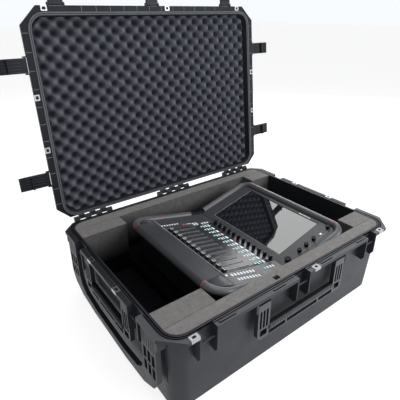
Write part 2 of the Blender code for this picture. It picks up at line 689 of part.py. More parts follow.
def cheeks():
    """A block on each side of the tray at the kink, rooted in its wall, that takes the tubes' ends."""
    low = KINK_Z - 0.036
    outline = [(CHEEK_LOW_X, low), (CHEEK_HIGH_X, low), (CHEEK_HIGH_X, surface_z(CHEEK_HIGH_X) - 0.001),
               (KINK_X, KINK_Z - 0.001), (CHEEK_LOW_X, surface_z(CHEEK_LOW_X) - 0.001)]
    depth = TUBE_OUT + TUBE_R - 0.001
    for side in (-1, 1):
        wall = CONSOLE_Y + side * CONSOLE_HALF
        lay = upright((1, 0, 0), (0, 0, 1), (0, wall + side * (depth / 2 + 0.0003), 0))
        yield plate(f"cheek_{side}", [outline], depth, lay)
        yield span_box(f"cheek_root_{side}", (CHEEK_LOW_X + 0.002, wall - side * 0.0015, low + 0.001),
                       (CHEEK_HIGH_X - 0.002, wall + side * 0.003, KINK_Z - 0.006))


def chassis():
    """A folded sheet tray with sloped top edges, open under the panels."""
    tray = block("console_chassis", console_plan(), CONSOLE_BOTTOM, 0.4)
    under = PANEL_THICK * 1.04 + GAP
    outline = [(-0.3, ARMREST_LOW - GAP), (PANEL_FRONT_X, ARMREST_LOW - GAP),
               (PANEL_FRONT_X, surface_z(PANEL_FRONT_X) - under), (KINK_X, KINK_Z - under),
               (0.35, surface_z(0.35) - under), (0.35, 0.13), (CONSOLE_BACK - 0.03, 0.09), (-0.205, 0.09),
               (-0.26, 0.15), (-0.3, 0.15)]
    boolean(tray, "INTERSECT", [side_prism("tray_side", outline)])
    hollow = block("tray_hollow", console_plan(0.003), CONSOLE_BOTTOM + 0.003, 0.4)
    hollow_side = [(-0.3, 0.5), (-0.3, 0.155), (-0.2585, 0.155), (-0.2035, CONSOLE_BOTTOM + 0.003),
                   (CONSOLE_BACK - 0.033, CONSOLE_BOTTOM + 0.003), (0.35, 0.137), (0.35, 0.5)]
    boolean(hollow, "INTERSECT", [side_prism("hollow_side", hollow_side)])
    boolean(tray, "DIFFERENCE", [hollow])
    boolean(tray, "UNION", list(cheeks()))
    keep(tray, CONSOLE_METAL)


def armrest():
    """A broad rest beside the guard tube that rolls down to the control surface."""
    pad = block("console_armrest", console_plan(), ARMREST_LOW, ARMREST_TOP + 0.01)
    profile = [(-0.3, 0.1), (-0.3, ARMREST_TOP - 0.0090), (CONSOLE_FRONT, ARMREST_TOP - 0.0070),
               (CONSOLE_FRONT + 0.004, ARMREST_TOP - 0.0022), (CONSOLE_FRONT + 0.012, ARMREST_TOP),
               (CONSOLE_FRONT + 0.028, ARMREST_TOP), (PANEL_FRONT_X - 0.034, ARMREST_TOP - 0.0018),
               (PANEL_FRONT_X - 0.020, ARMREST_TOP - 0.0080), (PANEL_FRONT_X - 0.010, ARMREST_TOP - 0.0150),
               (PANEL_FRONT_X - 0.0032, surface_z(PANEL_FRONT_X)), (PANEL_FRONT_X - 0.0014, 0.1)]
    boolean(pad, "INTERSECT", [side_prism("armrest_side", profile)])
    keep(pad, PAD_VINYL)


def trim_to_plan(obj):
    boolean(obj, "INTERSECT", [block("plan", console_plan(0.0002), 0.05, 0.45)])
    return keep(obj, CONSOLE_METAL)


def channel_y(channel):
    return FIRST_CHANNEL_Y - channel * CHANNEL_PITCH


FADER_REST = along_front(-0.1695)
FADER_HALF = 0.0080
ENCODER_U = along_front(0.0280)
ENCODER_SHAFT_R = 0.0030


def control_panel():
    slots = [rect(FADER_REST - 0.0045, channel_y(i) - 0.0018, FADER_REST + FADER_TRAVEL + 0.0045,
                  channel_y(i) + 0.0018) for i in range(CHANNELS)]
    holes = [circle((ENCODER_U, channel_y(i)), ENCODER_SHAFT_R + 0.0006, 10) for i in range(CHANNELS)]
    edge = rect(along_front(PANEL_FRONT_X), -0.3, -0.0006, 0.3)
    panel = plate("console_control_panel", [edge] + slots + holes, PANEL_THICK,
                  front_surface() @ Matrix.Translation((0, 0, -PANEL_THICK / 2)))
    trim_to_plan(panel)


SCREEN_LOW = along_rear(0.0690)
SCREEN_HIGH = along_rear(0.2580)
SCREEN_NEAR = -0.188
SCREEN_FAR = 0.150
KNOB_Y = -0.228
SIDE_KNOBS = (("menu_knob", 0.066, 0.0105), ("side_knob_1", 0.120, 0.0070), ("side_knob_2", 0.153, 0.0070),
              ("side_knob_3", 0.189, 0.0070), ("level_knob", 0.262, 0.0070))


def screen_panel():
    opening = rect(SCREEN_LOW, SCREEN_NEAR, SCREEN_HIGH, SCREEN_FAR)
    holes = [circle((along_rear(x), KNOB_Y), ENCODER_SHAFT_R + 0.0006, 10) for name, x, r in SIDE_KNOBS]
    edge = rect(0.0006, -0.3, 0.4, 0.3)
    panel = plate("console_screen_panel", [edge, opening] + holes, PANEL_THICK,
                  rear_surface() @ Matrix.Translation((0, 0, -PANEL_THICK / 2)))
    trim_to_plan(panel)
    glass = plate("console_screen", [rect(SCREEN_LOW + GAP, SCREEN_NEAR + GAP, SCREEN_HIGH - GAP, SCREEN_FAR - GAP)],
                  PANEL_THICK, rear_surface() @ Matrix.Translation((0, 0, 0.0008 - PANEL_THICK / 2)))
    keep(glass, SCREEN_GLASS)


TUBE_KINK_X = 0.036
TUBE_KINK_Z = RIM_Z - 0.066
TUBE_FRONT_SLOPE = -0.2217
TUBE_BACK_SLOPE = 0.268
TUBE_FRONT_BEND = 0.058
TUBE_BACK_BEND = 0.040
TUBE_END_GAP = 0.0036                  # the ends are cut square to the sloping tube


def tube(name, path, slope, finish):
    """A bent tube whose path is given in plan and lies in a plane through the kink."""
    curve = bpy.data.curves.new(name, "CURVE")
    curve.dimensions = "3D"
    curve.bevel_depth = TUBE_R
    curve.bevel_resolution = 2
    curve.use_fill_caps = True
    line = curve.splines.new("POLY")
    line.points.add(len(path) - 1)
    for point, (x, y) in zip(line.points, path):
        point.co = (x, y, TUBE_KINK_Z + slope * (x - TUBE_KINK_X), 1.0)
    drawn = bpy.data.objects.new(name, curve)
    bpy.context.scene.collection.objects.link(drawn)
    bpy.context.view_layer.update()
    mesh = bpy.data.meshes.new_from_object(drawn.evaluated_get(bpy.context.evaluated_depsgraph_get()))
    bpy.data.objects.remove(drawn, do_unlink=True)
    shape = bmesh.new()
    shape.from_mesh(mesh)
    bmesh.ops.remove_doubles(shape, verts=shape.verts, dist=0.00002)
    keep(from_bmesh(name, shape), finish)


def bend(centre_x, side_y, radius, start, steps=6):
    """A quarter turn in plan, about a point that lies radius inside side_y."""
    centre_y = side_y - radius
    return [(centre_x + radius * math.cos(start + math.pi / 2 * i / steps),
             centre_y + radius * math.sin(start + math.pi / 2 * i / steps)) for i in range(steps + 1)]


def both_sides(half_path):
    """A half path, its y measured from the console's middle, and its mirror image."""
    whole = half_path + [(x, -y) for x, y in reversed(half_path)]
    return [(x, CONSOLE_Y + y) for x, y in whole]


def tube_frame():
    """The guard tube round the console, in two bent lengths that meet at the cheeks."""
    side = CONSOLE_HALF + TUBE_OUT
    front_x = CONSOLE_FRONT - TUBE_OUT
    back_x = CONSOLE_BACK + TUBE_OUT
    front = [(CHEEK_LOW_X - TUBE_END_GAP, side)] + bend(front_x + TUBE_FRONT_BEND, side, TUBE_FRONT_BEND, math.pi / 2)
    rear = [(CHEEK_HIGH_X + TUBE_END_GAP, side)]
    rear += reversed(bend(back_x - TUBE_BACK_BEND, side, TUBE_BACK_BEND, 0.0))
    tube("console_tube_front", both_sides(front), TUBE_FRONT_SLOPE, TUBE_METAL)
    tube("console_tube_rear", both_sides(rear), TUBE_BACK_SLOPE, TUBE_METAL)


def faders():
    half = FADER_HALF
    cap = [(-half, 0.0012), (half, 0.0012), (half, 0.0085), (half - 0.002, 0.0120), (0.003, 0.0100),
           (-0.003, 0.0100), (-half + 0.002, 0.0120), (-half, 0.0085)]
    fader = plate("fader", [cap], 0.0140, upright((1, 0, 0), (0, 0, 1)))
    stem = box("fader_stem", (-0.003, -0.0010, -0.0090), (0.003, 0.0010, 0.0030))
    boolean(fader, "UNION", [stem])
    mesh = fader.data
    bpy.data.objects.remove(fader, do_unlink=True)
    for i in range(CHANNELS):
        place = front_surface() @ Matrix.Translation((FADER_REST, channel_y(i), 0))
        repeat(mesh, f"fader_{i + 1:02d}", KNOB_PLASTIC, place)


def knob_mesh(radius, height):
    """A knob with its shaft below the panel; its origin is on the panel's face, on its axis."""
    profile = [(0.0, height), (radius - 0.0008, height), (radius, height - 0.0010), (radius, 0.0008),
               (ENCODER_SHAFT_R, 0.0008), (ENCODER_SHAFT_R, -0.0090), (0.0, -0.0090)]
    knob = turned("knob", profile, 10)
    bpy.context.view_layer.update()
    mesh = bpy.data.meshes.new_from_object(knob.evaluated_get(bpy.context.evaluated_depsgraph_get()))
    bpy.data.objects.remove(knob, do_unlink=True)
    return mesh


def knobs():
    mesh = knob_mesh(0.0062, 0.0165)
    for i in range(CHANNELS):
        place = front_surface() @ Matrix.Translation((ENCODER_U, channel_y(i), 0))
        repeat(mesh, f"encoder_{i + 1:02d}", KNOB_PLASTIC, place)
    for name, x, radius in SIDE_KNOBS:
        place = rear_surface() @ Matrix.Translation((along_rear(x), KNOB_Y, 0))
        repeat(knob_mesh(radius, 0.0120), name, KNOB_PLASTIC, place)


base_shell()
hinge_pins()
handles()
wheels()
lid()
foams()
chassis()
armrest()
control_panel()
screen_panel()
tube_frame()
faders()
knobs()
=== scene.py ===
"""Looks for a digital mixing console in an open, wheeled transport case.

Metres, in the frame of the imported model: +Z up, +X along the hinge, +Y towards it. Lid pieces are
drawn with the lid closed and then turned open about the hinge, as the real ones would be.
"""
import json
import math
import random

import bmesh
import bpy
from mathutils import Matrix, Vector

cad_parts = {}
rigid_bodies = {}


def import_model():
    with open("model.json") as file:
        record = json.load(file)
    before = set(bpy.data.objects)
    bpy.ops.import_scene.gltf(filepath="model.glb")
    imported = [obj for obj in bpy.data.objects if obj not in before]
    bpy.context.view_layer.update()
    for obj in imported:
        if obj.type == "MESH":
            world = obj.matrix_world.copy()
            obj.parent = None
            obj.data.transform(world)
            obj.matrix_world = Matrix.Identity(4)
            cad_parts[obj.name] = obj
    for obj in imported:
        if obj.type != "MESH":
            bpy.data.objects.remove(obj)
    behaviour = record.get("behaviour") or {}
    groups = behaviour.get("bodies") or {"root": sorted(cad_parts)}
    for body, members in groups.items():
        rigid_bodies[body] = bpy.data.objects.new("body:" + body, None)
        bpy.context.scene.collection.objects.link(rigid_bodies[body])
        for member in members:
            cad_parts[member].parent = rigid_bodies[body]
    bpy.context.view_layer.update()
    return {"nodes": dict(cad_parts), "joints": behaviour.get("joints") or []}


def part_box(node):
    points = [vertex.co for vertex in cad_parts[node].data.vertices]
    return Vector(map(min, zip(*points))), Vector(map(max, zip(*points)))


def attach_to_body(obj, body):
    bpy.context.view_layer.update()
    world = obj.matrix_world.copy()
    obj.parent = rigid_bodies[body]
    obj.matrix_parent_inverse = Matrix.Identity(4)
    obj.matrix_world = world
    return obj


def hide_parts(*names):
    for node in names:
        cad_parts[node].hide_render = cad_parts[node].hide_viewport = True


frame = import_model()
NODES = frame["nodes"]
JOINTS = {joint["name"]: joint for joint in frame["joints"]}

# ------------ places and sizes, read from the frame where it has them
BASE_LOW, BASE_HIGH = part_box("base_shell")
FOAM_SUNK = 0.0015
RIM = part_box("base_foam")[1].z + FOAM_SUNK
FLANGE_X = BASE_HIGH.x
FLANGE_FRONT = -BASE_LOW.y
HINGE = Vector(JOINTS["lid_hinge"]["pos_m"])
LID_TURN = math.radians(JOINTS["lid_hinge"]["range_deg"][1])
LID_OPEN = Matrix.Translation(HINGE) @ Matrix.Rotation(-LID_TURN, 4, "X") @ Matrix.Translation(-HINGE)
# half the inside of the shell in plan, its wall and its rim
INSIDE_X = 0.438
INSIDE_Y = 0.323
WALL = 0.005
LID_DEPTH = 0.098
FLANGE_DROP = 0.0015
RIM_CORNER = 0.047
DRAFT_ANGLE = math.atan2(0.01, RIM)
# the well and the recess of the foam insert
WELL_LEFT = -0.277
WELL_RIGHT = 0.333
RECESS_NEAR = -0.282
RECESS_FAR = 0.279
# the way out and the half width of each handle, how far a grip hangs, and a padlock hole
HANDLES = {"front_handle": ((0, -1, 0), 0.187), "left_handle": ((-1, 0, 0), 0.1525),
           "right_handle": ((1, 0, 0), 0.1525), "pull_handle": ((-1, 0, 0), 0.289)}
GRIP_DROP = -0.087
PLATE_IN = 0.0078
PLATE_HOLE = 0.0062
# where the console's two panels meet, and how they slope
KINK = Vector((0.0405, 0.0, RIM - 0.0625))
FRONT_SLOPE = math.asin(JOINTS["encoder_01_turn"]["axis"][0])
REAR_SLOPE = -math.asin(JOINTS["menu_knob_turn"]["axis"][0])
FADER_TRAVEL = JOINTS["fader_01_slide"]["range_m"][1]
# grooves round the rim, measured from the wall, and hooked slots in the front flange
INNER_GROOVE = 0.0004
OUTER_GROOVE = 0.0062
GROOVE_WIDE = 0.003
GROOVE_DEEP = 0.0085
GROOVE_OVER = 0.002
CUT_OVER = 0.01
SLOT_NEAR = -FLANGE_FRONT + 0.005
SLOT_FAR = -FLANGE_FRONT + 0.0086
SLOT_DEEP = 0.01
FLANGE_SLOTS = ((-0.314, -0.264), (-0.127, -0.083), (0.074, 0.124), (0.255, 0.303))
CHANNELS = [f"{i:02d}" for i in range(1, 13)]
SIDE_KNOBS = ("menu_knob", "side_knob_1", "side_knob_2", "side_knob_3", "level_knob")
TUBE_LOW, TUBE_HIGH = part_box("console_tube_front")
TUBE_R = 0.0125
CONSOLE_Y = (TUBE_LOW.y + TUBE_HIGH.y) / 2
TUBE_SIDE = (TUBE_HIGH.y - TUBE_LOW.y) / 2 - TUBE_R
TUBE_KINK_X = 0.036
TUBE_KINK_Z = RIM - 0.066
# which way it bends, where its ends stop, its cross bar, its bend radius and its slope
TUBE_LENGTHS = {"console_tube_front": (-1, -0.0076, -0.264, 0.058, -0.2217),
                "console_tube_rear": (1, 0.0596, 0.288, 0.04, 0.268)}
# the strip of channels, the near edge of its panel, and small fittings
CHANNELS_NEAR = -0.1975
CHANNELS_FAR = 0.117
PANEL_EDGE = -0.1785
TICK_HALF = 0.0004
RIB_HALF = 0.0009
KEY_HIGH = 0.0014
# how far from its ends the armrest starts to fall, and the share of its height that it loses
ARMREST_ROLL = 0.041
ARMREST_FALL = 0.22


def channel_y(channel):
    return JOINTS[f"encoder_{channel}_turn"]["pos_m"][1]


# ------------ materials
class Look:
    """A Principled material with a few noise layers, in object space."""

    def __init__(self, name, colour, roughness, metallic=0.0, slot=None, **inputs):
        self.made = bpy.data.materials.new(name)
        self.made.use_nodes = True
        self.slot = slot
        self.tree = self.made.node_tree
        self.shader = self.tree.nodes["Principled BSDF"]
        self.colour = (*colour, 1.0)
        self.shader.inputs["Base Color"].default_value = self.colour
        self.shader.inputs["Roughness"].default_value = roughness
        self.shader.inputs["Metallic"].default_value = metallic
        for key, value in inputs.items():
            self.shader.inputs[key.replace("_", " ")].default_value = value
        self.place = self.node("ShaderNodeTexCoord").outputs["Object"]
        self.height = None

    def node(self, kind, **values):
        made = self.tree.nodes.new(kind)
        for key, value in values.items():
            setattr(made, key, value)
        return made

    def link(self, out, into):
        self.tree.links.new(out, into)

    def noise(self, scale, detail=3.0, stretch=None):
        made = self.node("ShaderNodeTexNoise")
        made.inputs["Scale"].default_value = scale
        made.inputs["Detail"].default_value = detail
        if stretch:
            mapping = self.node("ShaderNodeMapping")
            mapping.inputs["Scale"].default_value = stretch
            self.link(self.place, mapping.inputs["Vector"])
            self.link(mapping.outputs["Vector"], made.inputs["Vector"])
        else:
            self.link(self.place, made.inputs["Vector"])
        return made.outputs["Fac"]

    def cells(self, scale):
        made = self.node("ShaderNodeTexVoronoi")
        made.inputs["Scale"].default_value = scale
        self.link(self.place, made.inputs["Vector"])
        return made.outputs["Distance"]

    def spread(self, source, low, high, from_low=0.3, from_high=0.7):
        made = self.node("ShaderNodeMapRange")
        limits = {"From Min": from_low, "From Max": from_high, "To Min": low, "To Max": high}
        for key, value in limits.items():
            made.inputs[key].default_value = value
        self.link(source, made.inputs["Value"])
        return made.outputs["Result"]

    def along(self, direction):
        """How far each point lies along a direction, in metres."""
        made = self.node("ShaderNodeVectorMath", operation="DOT_PRODUCT")
        self.link(self.place, made.inputs[0])
        made.inputs[1].default_value = direction
        return made.outputs["Value"]

    def tint(self, source, other, low=0.35, high=0.65):
        """Mix towards another colour where source is high."""
        mix = self.node("ShaderNodeMix", data_type="RGBA")
        current = self.shader.inputs["Base Color"]
        if current.is_linked:
            self.link(current.links[0].from_socket, mix.inputs["A"])
        else:
            mix.inputs["A"].default_value = self.colour
        mix.inputs["B"].default_value = (*other, 1.0)
        self.link(self.spread(source, 0.0, 1.0, low, high), mix.inputs["Factor"])
        self.link(mix.outputs["Result"], current)
        return self

    def rough(self, source, low, high):
        self.link(self.spread(source, low, high), self.shader.inputs["Roughness"])
        return self

    def bump(self, source, depth, strength=1.0):
        made = self.node("ShaderNodeBump")
        made.inputs["Distance"].default_value = depth
        made.inputs["Strength"].default_value = strength
        self.link(source, made.inputs["Height"])
        if self.height:
            self.link(self.height, made.inputs["Normal"])
        self.height = made.outputs["Normal"]
        self.link(self.height, self.shader.inputs["Normal"])
        return self


COOL = (0.84, 0.9, 1.0, 1.0)


def moulded(name, colour, lighter, roughness, slot, grain=900.0, depth=0.00016):
    """Moulded plastic: pebbled skin, a little uneven in shade and gloss."""
    look = Look(name, colour, roughness, slot=slot, Specular_IOR_Level=0.24, Specular_Tint=COOL)
    look.tint(look.noise(5.0, 3.0), lighter, 0.4, 0.7)
    look.rough(look.noise(18.0, 4.0), roughness - 0.04, roughness + 0.05)
    look.bump(look.cells(grain), depth, 0.55)
    look.bump(look.noise(grain * 1.7, 2.0), depth * 0.6, 0.4)
    return look


def foam_look(name, colour, darker, lighter, slot, pores=520.0, depth=0.0005, sheen=0.05):
    """Open-cell foam: dark pores, a mottled face and a faint sheen."""
    look = Look(name, colour, 0.96, slot=slot, Sheen_Weight=sheen, Sheen_Roughness=0.6,
                Specular_IOR_Level=0.05)
    look.tint(look.noise(pores * 0.35, 6.0), darker, 0.44, 0.66)
    look.tint(look.noise(60.0, 5.0), lighter, 0.46, 0.78)
    look.bump(look.cells(pores), depth, 0.7)
    look.bump(look.noise(pores * 0.45, 5.0), depth * 1.3, 0.5)
    return look


def paint_depth_shade(look, shade, start, stop):
    """Darken a foam from one depth under the rim to another: painted shade that grows down into the well."""
    look.tint(look.along((0.0, 0.0, -1.0)), shade, start - RIM, stop - RIM)


def painted(name, colour, lighter, roughness, slot, grain=1400.0):
    look = Look(name, colour, roughness, slot=slot, Coat_Weight=0.08, Coat_Roughness=0.25)
    look.tint(look.noise(7.0, 4.0), lighter, 0.4, 0.8)
    look.rough(look.noise(40.0, 5.0), roughness - 0.05, roughness + 0.07)
    look.bump(look.noise(grain, 2.0), 0.00006, 0.5)
    return look


CASE = moulded("case_skin", (0.019, 0.0197, 0.0232), (0.0215, 0.0223, 0.026), 0.44, "case_plastic")
# Painted highlight: a lighter copy of the case plastic for tops that catch the light.
CASE_LIT = moulded("case_painted_highlight_skin", (0.072, 0.074, 0.081), (0.085, 0.087, 0.094), 0.4, "case_plastic")
# Painted highlight: a pale copy of the case plastic for the lid's flange ribs.
CASE_RIB_LIT = moulded("case_rib_painted_highlight", (0.14, 0.142, 0.15), (0.16, 0.162, 0.17), 0.45, "case_plastic")
# Painted shade: a nearly black copy of the case plastic.
CASE_SHADE = moulded("case_painted_shade_skin", (0.0032, 0.0034, 0.0048), (0.004, 0.0042, 0.0058), 0.5,
                    "case_plastic")
# Painted shadow: a nearly black, matt strip put where the grooves and slots lie in shade.
GROOVE_SHADE = Look("groove_painted_shadow", (0.0012, 0.0012, 0.0016), 0.9, slot="case_plastic", Specular_IOR_Level=0.0)
GROOVE_SHADE.tint(GROOVE_SHADE.noise(200.0), (0.002, 0.002, 0.0026)).bump(GROOVE_SHADE.noise(900.0), 0.00005)
# Painted light: a lighter copy of the case plastic for the front handle's forward faces.
HANDLE_LIT = moulded("handle_painted_light", (0.062, 0.064, 0.069), (0.07, 0.072, 0.077), 0.42, "case_plastic")
GASKET = moulded("gasket_rubber", (0.085, 0.087, 0.096), (0.095, 0.097, 0.106), 0.45, "rubber")
LATCH = moulded("latch_skin", (0.003, 0.0032, 0.0045), (0.004, 0.0042, 0.0058), 0.36, "latch_plastic")
# Painted highlight: a lighter copy of the latch plastic for its ribs.
LATCH_RIB_LIT = moulded("latch_rib_painted_highlight", (0.024, 0.025, 0.03), (0.03, 0.031, 0.036), 0.42, "latch_plastic")
LATCH_PATCH = moulded("latch_textured_end", (0.03, 0.031, 0.036), (0.042, 0.043, 0.048), 0.6,
                      "latch_plastic", 500.0, 0.0005)
GRIP = Look("grip_rubber", (0.0035, 0.0035, 0.005), 0.46, slot="case_plastic", Specular_IOR_Level=0.3)
GRIP.rough(GRIP.noise(60.0, 4.0), 0.38, 0.5).bump(GRIP.noise(700.0, 2.0), 0.00005)
RUBBER = Look("tread_rubber", (0.012, 0.012, 0.014), 0.62, slot="rubber")
RUBBER.tint(RUBBER.noise(40.0, 5.0), (0.026, 0.025, 0.024), 0.45, 0.8).bump(RUBBER.noise(900.0), 0.0001)
HUB = moulded("wheel_hub_plastic", (0.02, 0.02, 0.023), (0.026, 0.026, 0.029), 0.45, "rubber")
STEEL = Look("zinc_steel", (0.4, 0.4, 0.41), 0.4, 1.0, slot="steel")
STEEL.rough(STEEL.noise(90.0, 6.0, (1.0, 12.0, 1.0)), 0.22, 0.42).bump(STEEL.noise(900.0, 2.0), 0.00002)
INSERT_FOAM = foam_look("insert_foam", (0.205, 0.197, 0.191), (0.158, 0.152, 0.148), (0.235, 0.226, 0.22),
                        "foam_grey")
paint_depth_shade(INSERT_FOAM, (0.012, 0.012, 0.015), 0.012, 0.15)
CORNER_FOAM = foam_look("corner_foam", (0.19, 0.183, 0.178), (0.148, 0.142, 0.139), (0.215, 0.207, 0.202),
                        "foam_grey")
paint_depth_shade(CORNER_FOAM, (0.012, 0.012, 0.015), 0.012, 0.15)
# Painted shade: a darker copy of the insert foam for its sides and lower faces, darker again towards the
# bottom.
WALL_FOAM_SHADED = foam_look("well_wall_painted_shade", (0.118, 0.114, 0.113), (0.09, 0.087, 0.087), (0.136, 0.131, 0.13),
                      "foam_grey", sheen=0.0)
paint_depth_shade(WALL_FOAM_SHADED, (0.004, 0.004, 0.006), 0.03, 0.125)
# Painted shade: the floor sheet at the bottom of the well is made nearly black.
FLOOR_FOAM_SHADED = foam_look("floor_foam_painted_shade", (0.006, 0.006, 0.008), (0.004, 0.004, 0.005),
                       (0.008, 0.008, 0.01), "foam_grey", sheen=0.0)
LID_FOAM = foam_look("egg_crate_foam", (0.102, 0.106, 0.126), (0.08, 0.083, 0.1), (0.118, 0.122, 0.142),
                     "foam_charcoal", 620.0, 0.0006, sheen=0.0)
INTO_LID = LID_OPEN.to_3x3() @ Vector((0.0, 0.0, 1.0))
LID_RIM = (LID_OPEN @ Vector((0.0, 0.0, RIM))).dot(INTO_LID)
# Painted shade: the egg crate's dips, lying deeper in the lid, are darkened.
LID_FOAM.tint(LID_FOAM.along(INTO_LID), (0.015, 0.0155, 0.0225), LID_RIM + 0.017, LID_RIM + 0.0385)
METAL = painted("console_paint", (0.048, 0.05, 0.056), (0.054, 0.056, 0.062), 0.38, "console_metal")
CHASSIS = painted("chassis_paint", (0.0075, 0.0078, 0.01), (0.0095, 0.0098, 0.012), 0.5, "console_metal")
CHANNEL_GLOSS = painted("channel_panel_gloss", (0.03, 0.033, 0.037), (0.034, 0.037, 0.041), 0.2,
                        "console_metal", 900.0)
TUBE = painted("tube_paint", (0.075, 0.078, 0.084), (0.085, 0.088, 0.094), 0.34, "tube_metal", 1100.0)
RING = painted("ring_red", (0.34, 0.03, 0.055), (0.4, 0.05, 0.07), 0.35, "tube_metal")
KNOB = moulded("knob_black", (0.0035, 0.0035, 0.0045), (0.0045, 0.0045, 0.0055), 0.3, "knob_plastic",
               1500.0, 0.00004)
# Pale print; its strips at the ends of the fader caps are painted highlights.
PALE_PRINT_AND_GLINT = Look("pale_print_and_highlight", (0.84, 0.85, 0.86), 0.5, slot="knob_plastic")
PALE_PRINT_AND_GLINT.tint(PALE_PRINT_AND_GLINT.noise(300.0), (0.7, 0.71, 0.72)).rough(PALE_PRINT_AND_GLINT.noise(200.0), 0.42, 0.58)
TRIM = Look("thin_trim", (0.42, 0.44, 0.46), 0.35, slot="console_metal")
TRIM.tint(TRIM.noise(50.0), (0.34, 0.355, 0.37)).rough(TRIM.noise(90.0), 0.28, 0.42)
GLASS = Look("screen_glass", (0.006, 0.007, 0.009), 0.03, slot="screen_glass", Coat_Weight=1.0,
             Coat_Roughness=0.02, Coat_IOR=1.9, IOR=1.9)
GLASS.rough(GLASS.noise(8.0, 5.0), 0.02, 0.045)
VINYL = moulded("armrest_vinyl", (0.044, 0.045, 0.05), (0.05, 0.051, 0.056), 0.4, "pad_vinyl", 650.0,
                0.00014)


def lamp_look(name, colour, strength):
    look = Look(name, colour, 0.4, slot="knob_plastic", Emission_Strength=strength)
    look.shader.inputs["Emission Color"].default_value = (*colour, 1.0)
    look.tint(look.noise(500.0, 2.0), tuple(0.85 * c for c in colour))
    return look


KEY_WHITE = lamp_look("key_white", (0.8, 0.84, 0.86), 0.25)
KEY_CYAN = lamp_look("key_cyan", (0.25, 0.62, 0.68), 0.25)
KEY_PINK = lamp_look("key_pink", (0.8, 0.55, 0.62), 0.2)
KEY_RED = lamp_look("key_red", (0.65, 0.16, 0.2), 0.2)


# ------------ mesh helpers
def dress(obj, look):
    obj.data.materials.clear()
    obj.data.materials.append(look.made)
    return obj


def finish_mesh(name, shape, look, smooth=30.0):
    """Turn a bmesh into an object with outward faces and a material."""
    bmesh.ops.recalc_face_normals(shape, faces=shape.faces)
    mesh = bpy.data.meshes.new(name)
    shape.to_mesh(mesh)
    shape.free()
    obj = bpy.data.objects.new(name, mesh)
    bpy.context.scene.collection.objects.link(obj)
    if smooth:
        mesh.shade_smooth()
        mesh.set_sharp_from_angle(angle=math.radians(smooth))
    return dress(obj, look)


def attach(obj, body, replaces=()):
    """Put a finished piece on its body and say what it stands for."""
    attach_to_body(obj, body)
    if replaces:
        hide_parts(*replaces)
    return obj


def place(name, shape, look, body, smooth=30.0):
    """Finish a piece that only the visual model has, and put it on its body."""
    return attach(finish_mesh(name, shape, look, smooth), body)


def settle(obj):
    """Apply every modifier on an object."""
    bpy.context.view_layer.update()
    made = bpy.data.meshes.new_from_object(obj.evaluated_get(bpy.context.evaluated_depsgraph_get()))
    obj.modifiers.clear()
    obj.data = made
    return obj


def soft_edges(obj, width, segments=2, angle=35.0):
    """Round the sharp edges a little and keep the flat faces flat in shade."""
    bevel = obj.modifiers.new("soft_edges", "BEVEL")
    bevel.width = width
    bevel.segments = segments
    bevel.limit_method = "ANGLE"
    bevel.angle_limit = math.radians(angle)
    settle(obj)
    obj.data.shade_smooth()
    obj.data.set_sharp_from_angle(angle=math.radians(40.0))
    flatten = obj.modifiers.new("flat_faces", "WEIGHTED_NORMAL")
    flatten.weight = 100
    flatten.keep_sharp = True
    return settle(obj)


def copy_node(node, look, name=None):
    """A free copy of a CAD node's solid with its flat faces joined up again."""
    shape = bmesh.new()
    shape.from_mesh(NODES[node].data)
    bmesh.ops.remove_doubles(shape, verts=shape.verts, dist=0.00002)
    bmesh.ops.dissolve_limit(shape, angle_limit=math.radians(1.0), verts=shape.verts, edges=shape.edges)
    return finish_mesh(name or f"{node}_finished", shape, look)


def recast(node, look, body, width, name=None, segments=2):
    """A copy of a CAD node with soft edges, in the node's place."""
    piece = soft_edges(copy_node(node, look, name), width, segments)
    return attach(piece, body, [node])


def carve(obj, cutters, operation="DIFFERENCE"):
    """Cut an object by other objects, which are then removed."""
    bag = bpy.data.collections.new(f"{obj.name}_cutters")
    for cutter in cutters:
        bag.objects.link(cutter)
    cut = obj.modifiers.new("carve", "BOOLEAN")
    cut.operation = operation
    cut.operand_type = "COLLECTION"
    cut.collection = bag
    cut.solver = "EXACT"
    settle(obj)
    for cutter in list(bag.objects):
        bpy.data.objects.remove(cutter, do_unlink=True)
    bpy.data.collections.remove(bag)
    shape = bmesh.new()
    shape.from_mesh(obj.data)
    bmesh.ops.dissolve_limit(shape, angle_limit=math.radians(1.0), verts=shape.verts, edges=shape.edges)
    shape.to_mesh(obj.data)
    shape.free()
    return obj


def upright(x_axis, y_axis, origin=(0, 0, 0)):
    """The matrix that lays x and y along two directions."""
    x_axis = Vector(x_axis).normalized()
    y_axis = Vector(y_axis).normalized()
    turn = Matrix((x_axis, y_axis, x_axis.cross(y_axis))).transposed().to_4x4()
    return Matrix.Translation(origin) @ turn


def add_box(shape, low, high, lay=Matrix.Identity(4), soft=0.0):
    """A box between two corners, laid by a matrix, with rounded edges if soft."""
    low = Vector(low)
    high = Vector(high)
    made = bmesh.ops.create_cube(shape, size=1.0)["verts"]
    bmesh.ops.scale(shape, vec=high - low, verts=made)
    bmesh.ops.translate(shape, vec=(low + high) / 2, verts=made)
    if soft:
        edges = list({edge for vert in made for edge in vert.link_edges})
        made = bmesh.ops.bevel(shape, geom=edges, offset=soft, segments=2, profile=0.5,
                               affect="EDGES")["verts"]
    bmesh.ops.transform(shape, matrix=lay, verts=made)


def box_object(name, low, high, lay=Matrix.Identity(4), soft=0.0, look=None):
    shape = bmesh.new()
    add_box(shape, low, high, lay, soft)
    return finish_mesh(name, shape, look or CASE)


def rim_outline():
    """The outside of the shell's walls at the rim, in plan."""
    return rounded_rect(INSIDE_X + WALL, INSIDE_Y + WALL, RIM_CORNER)


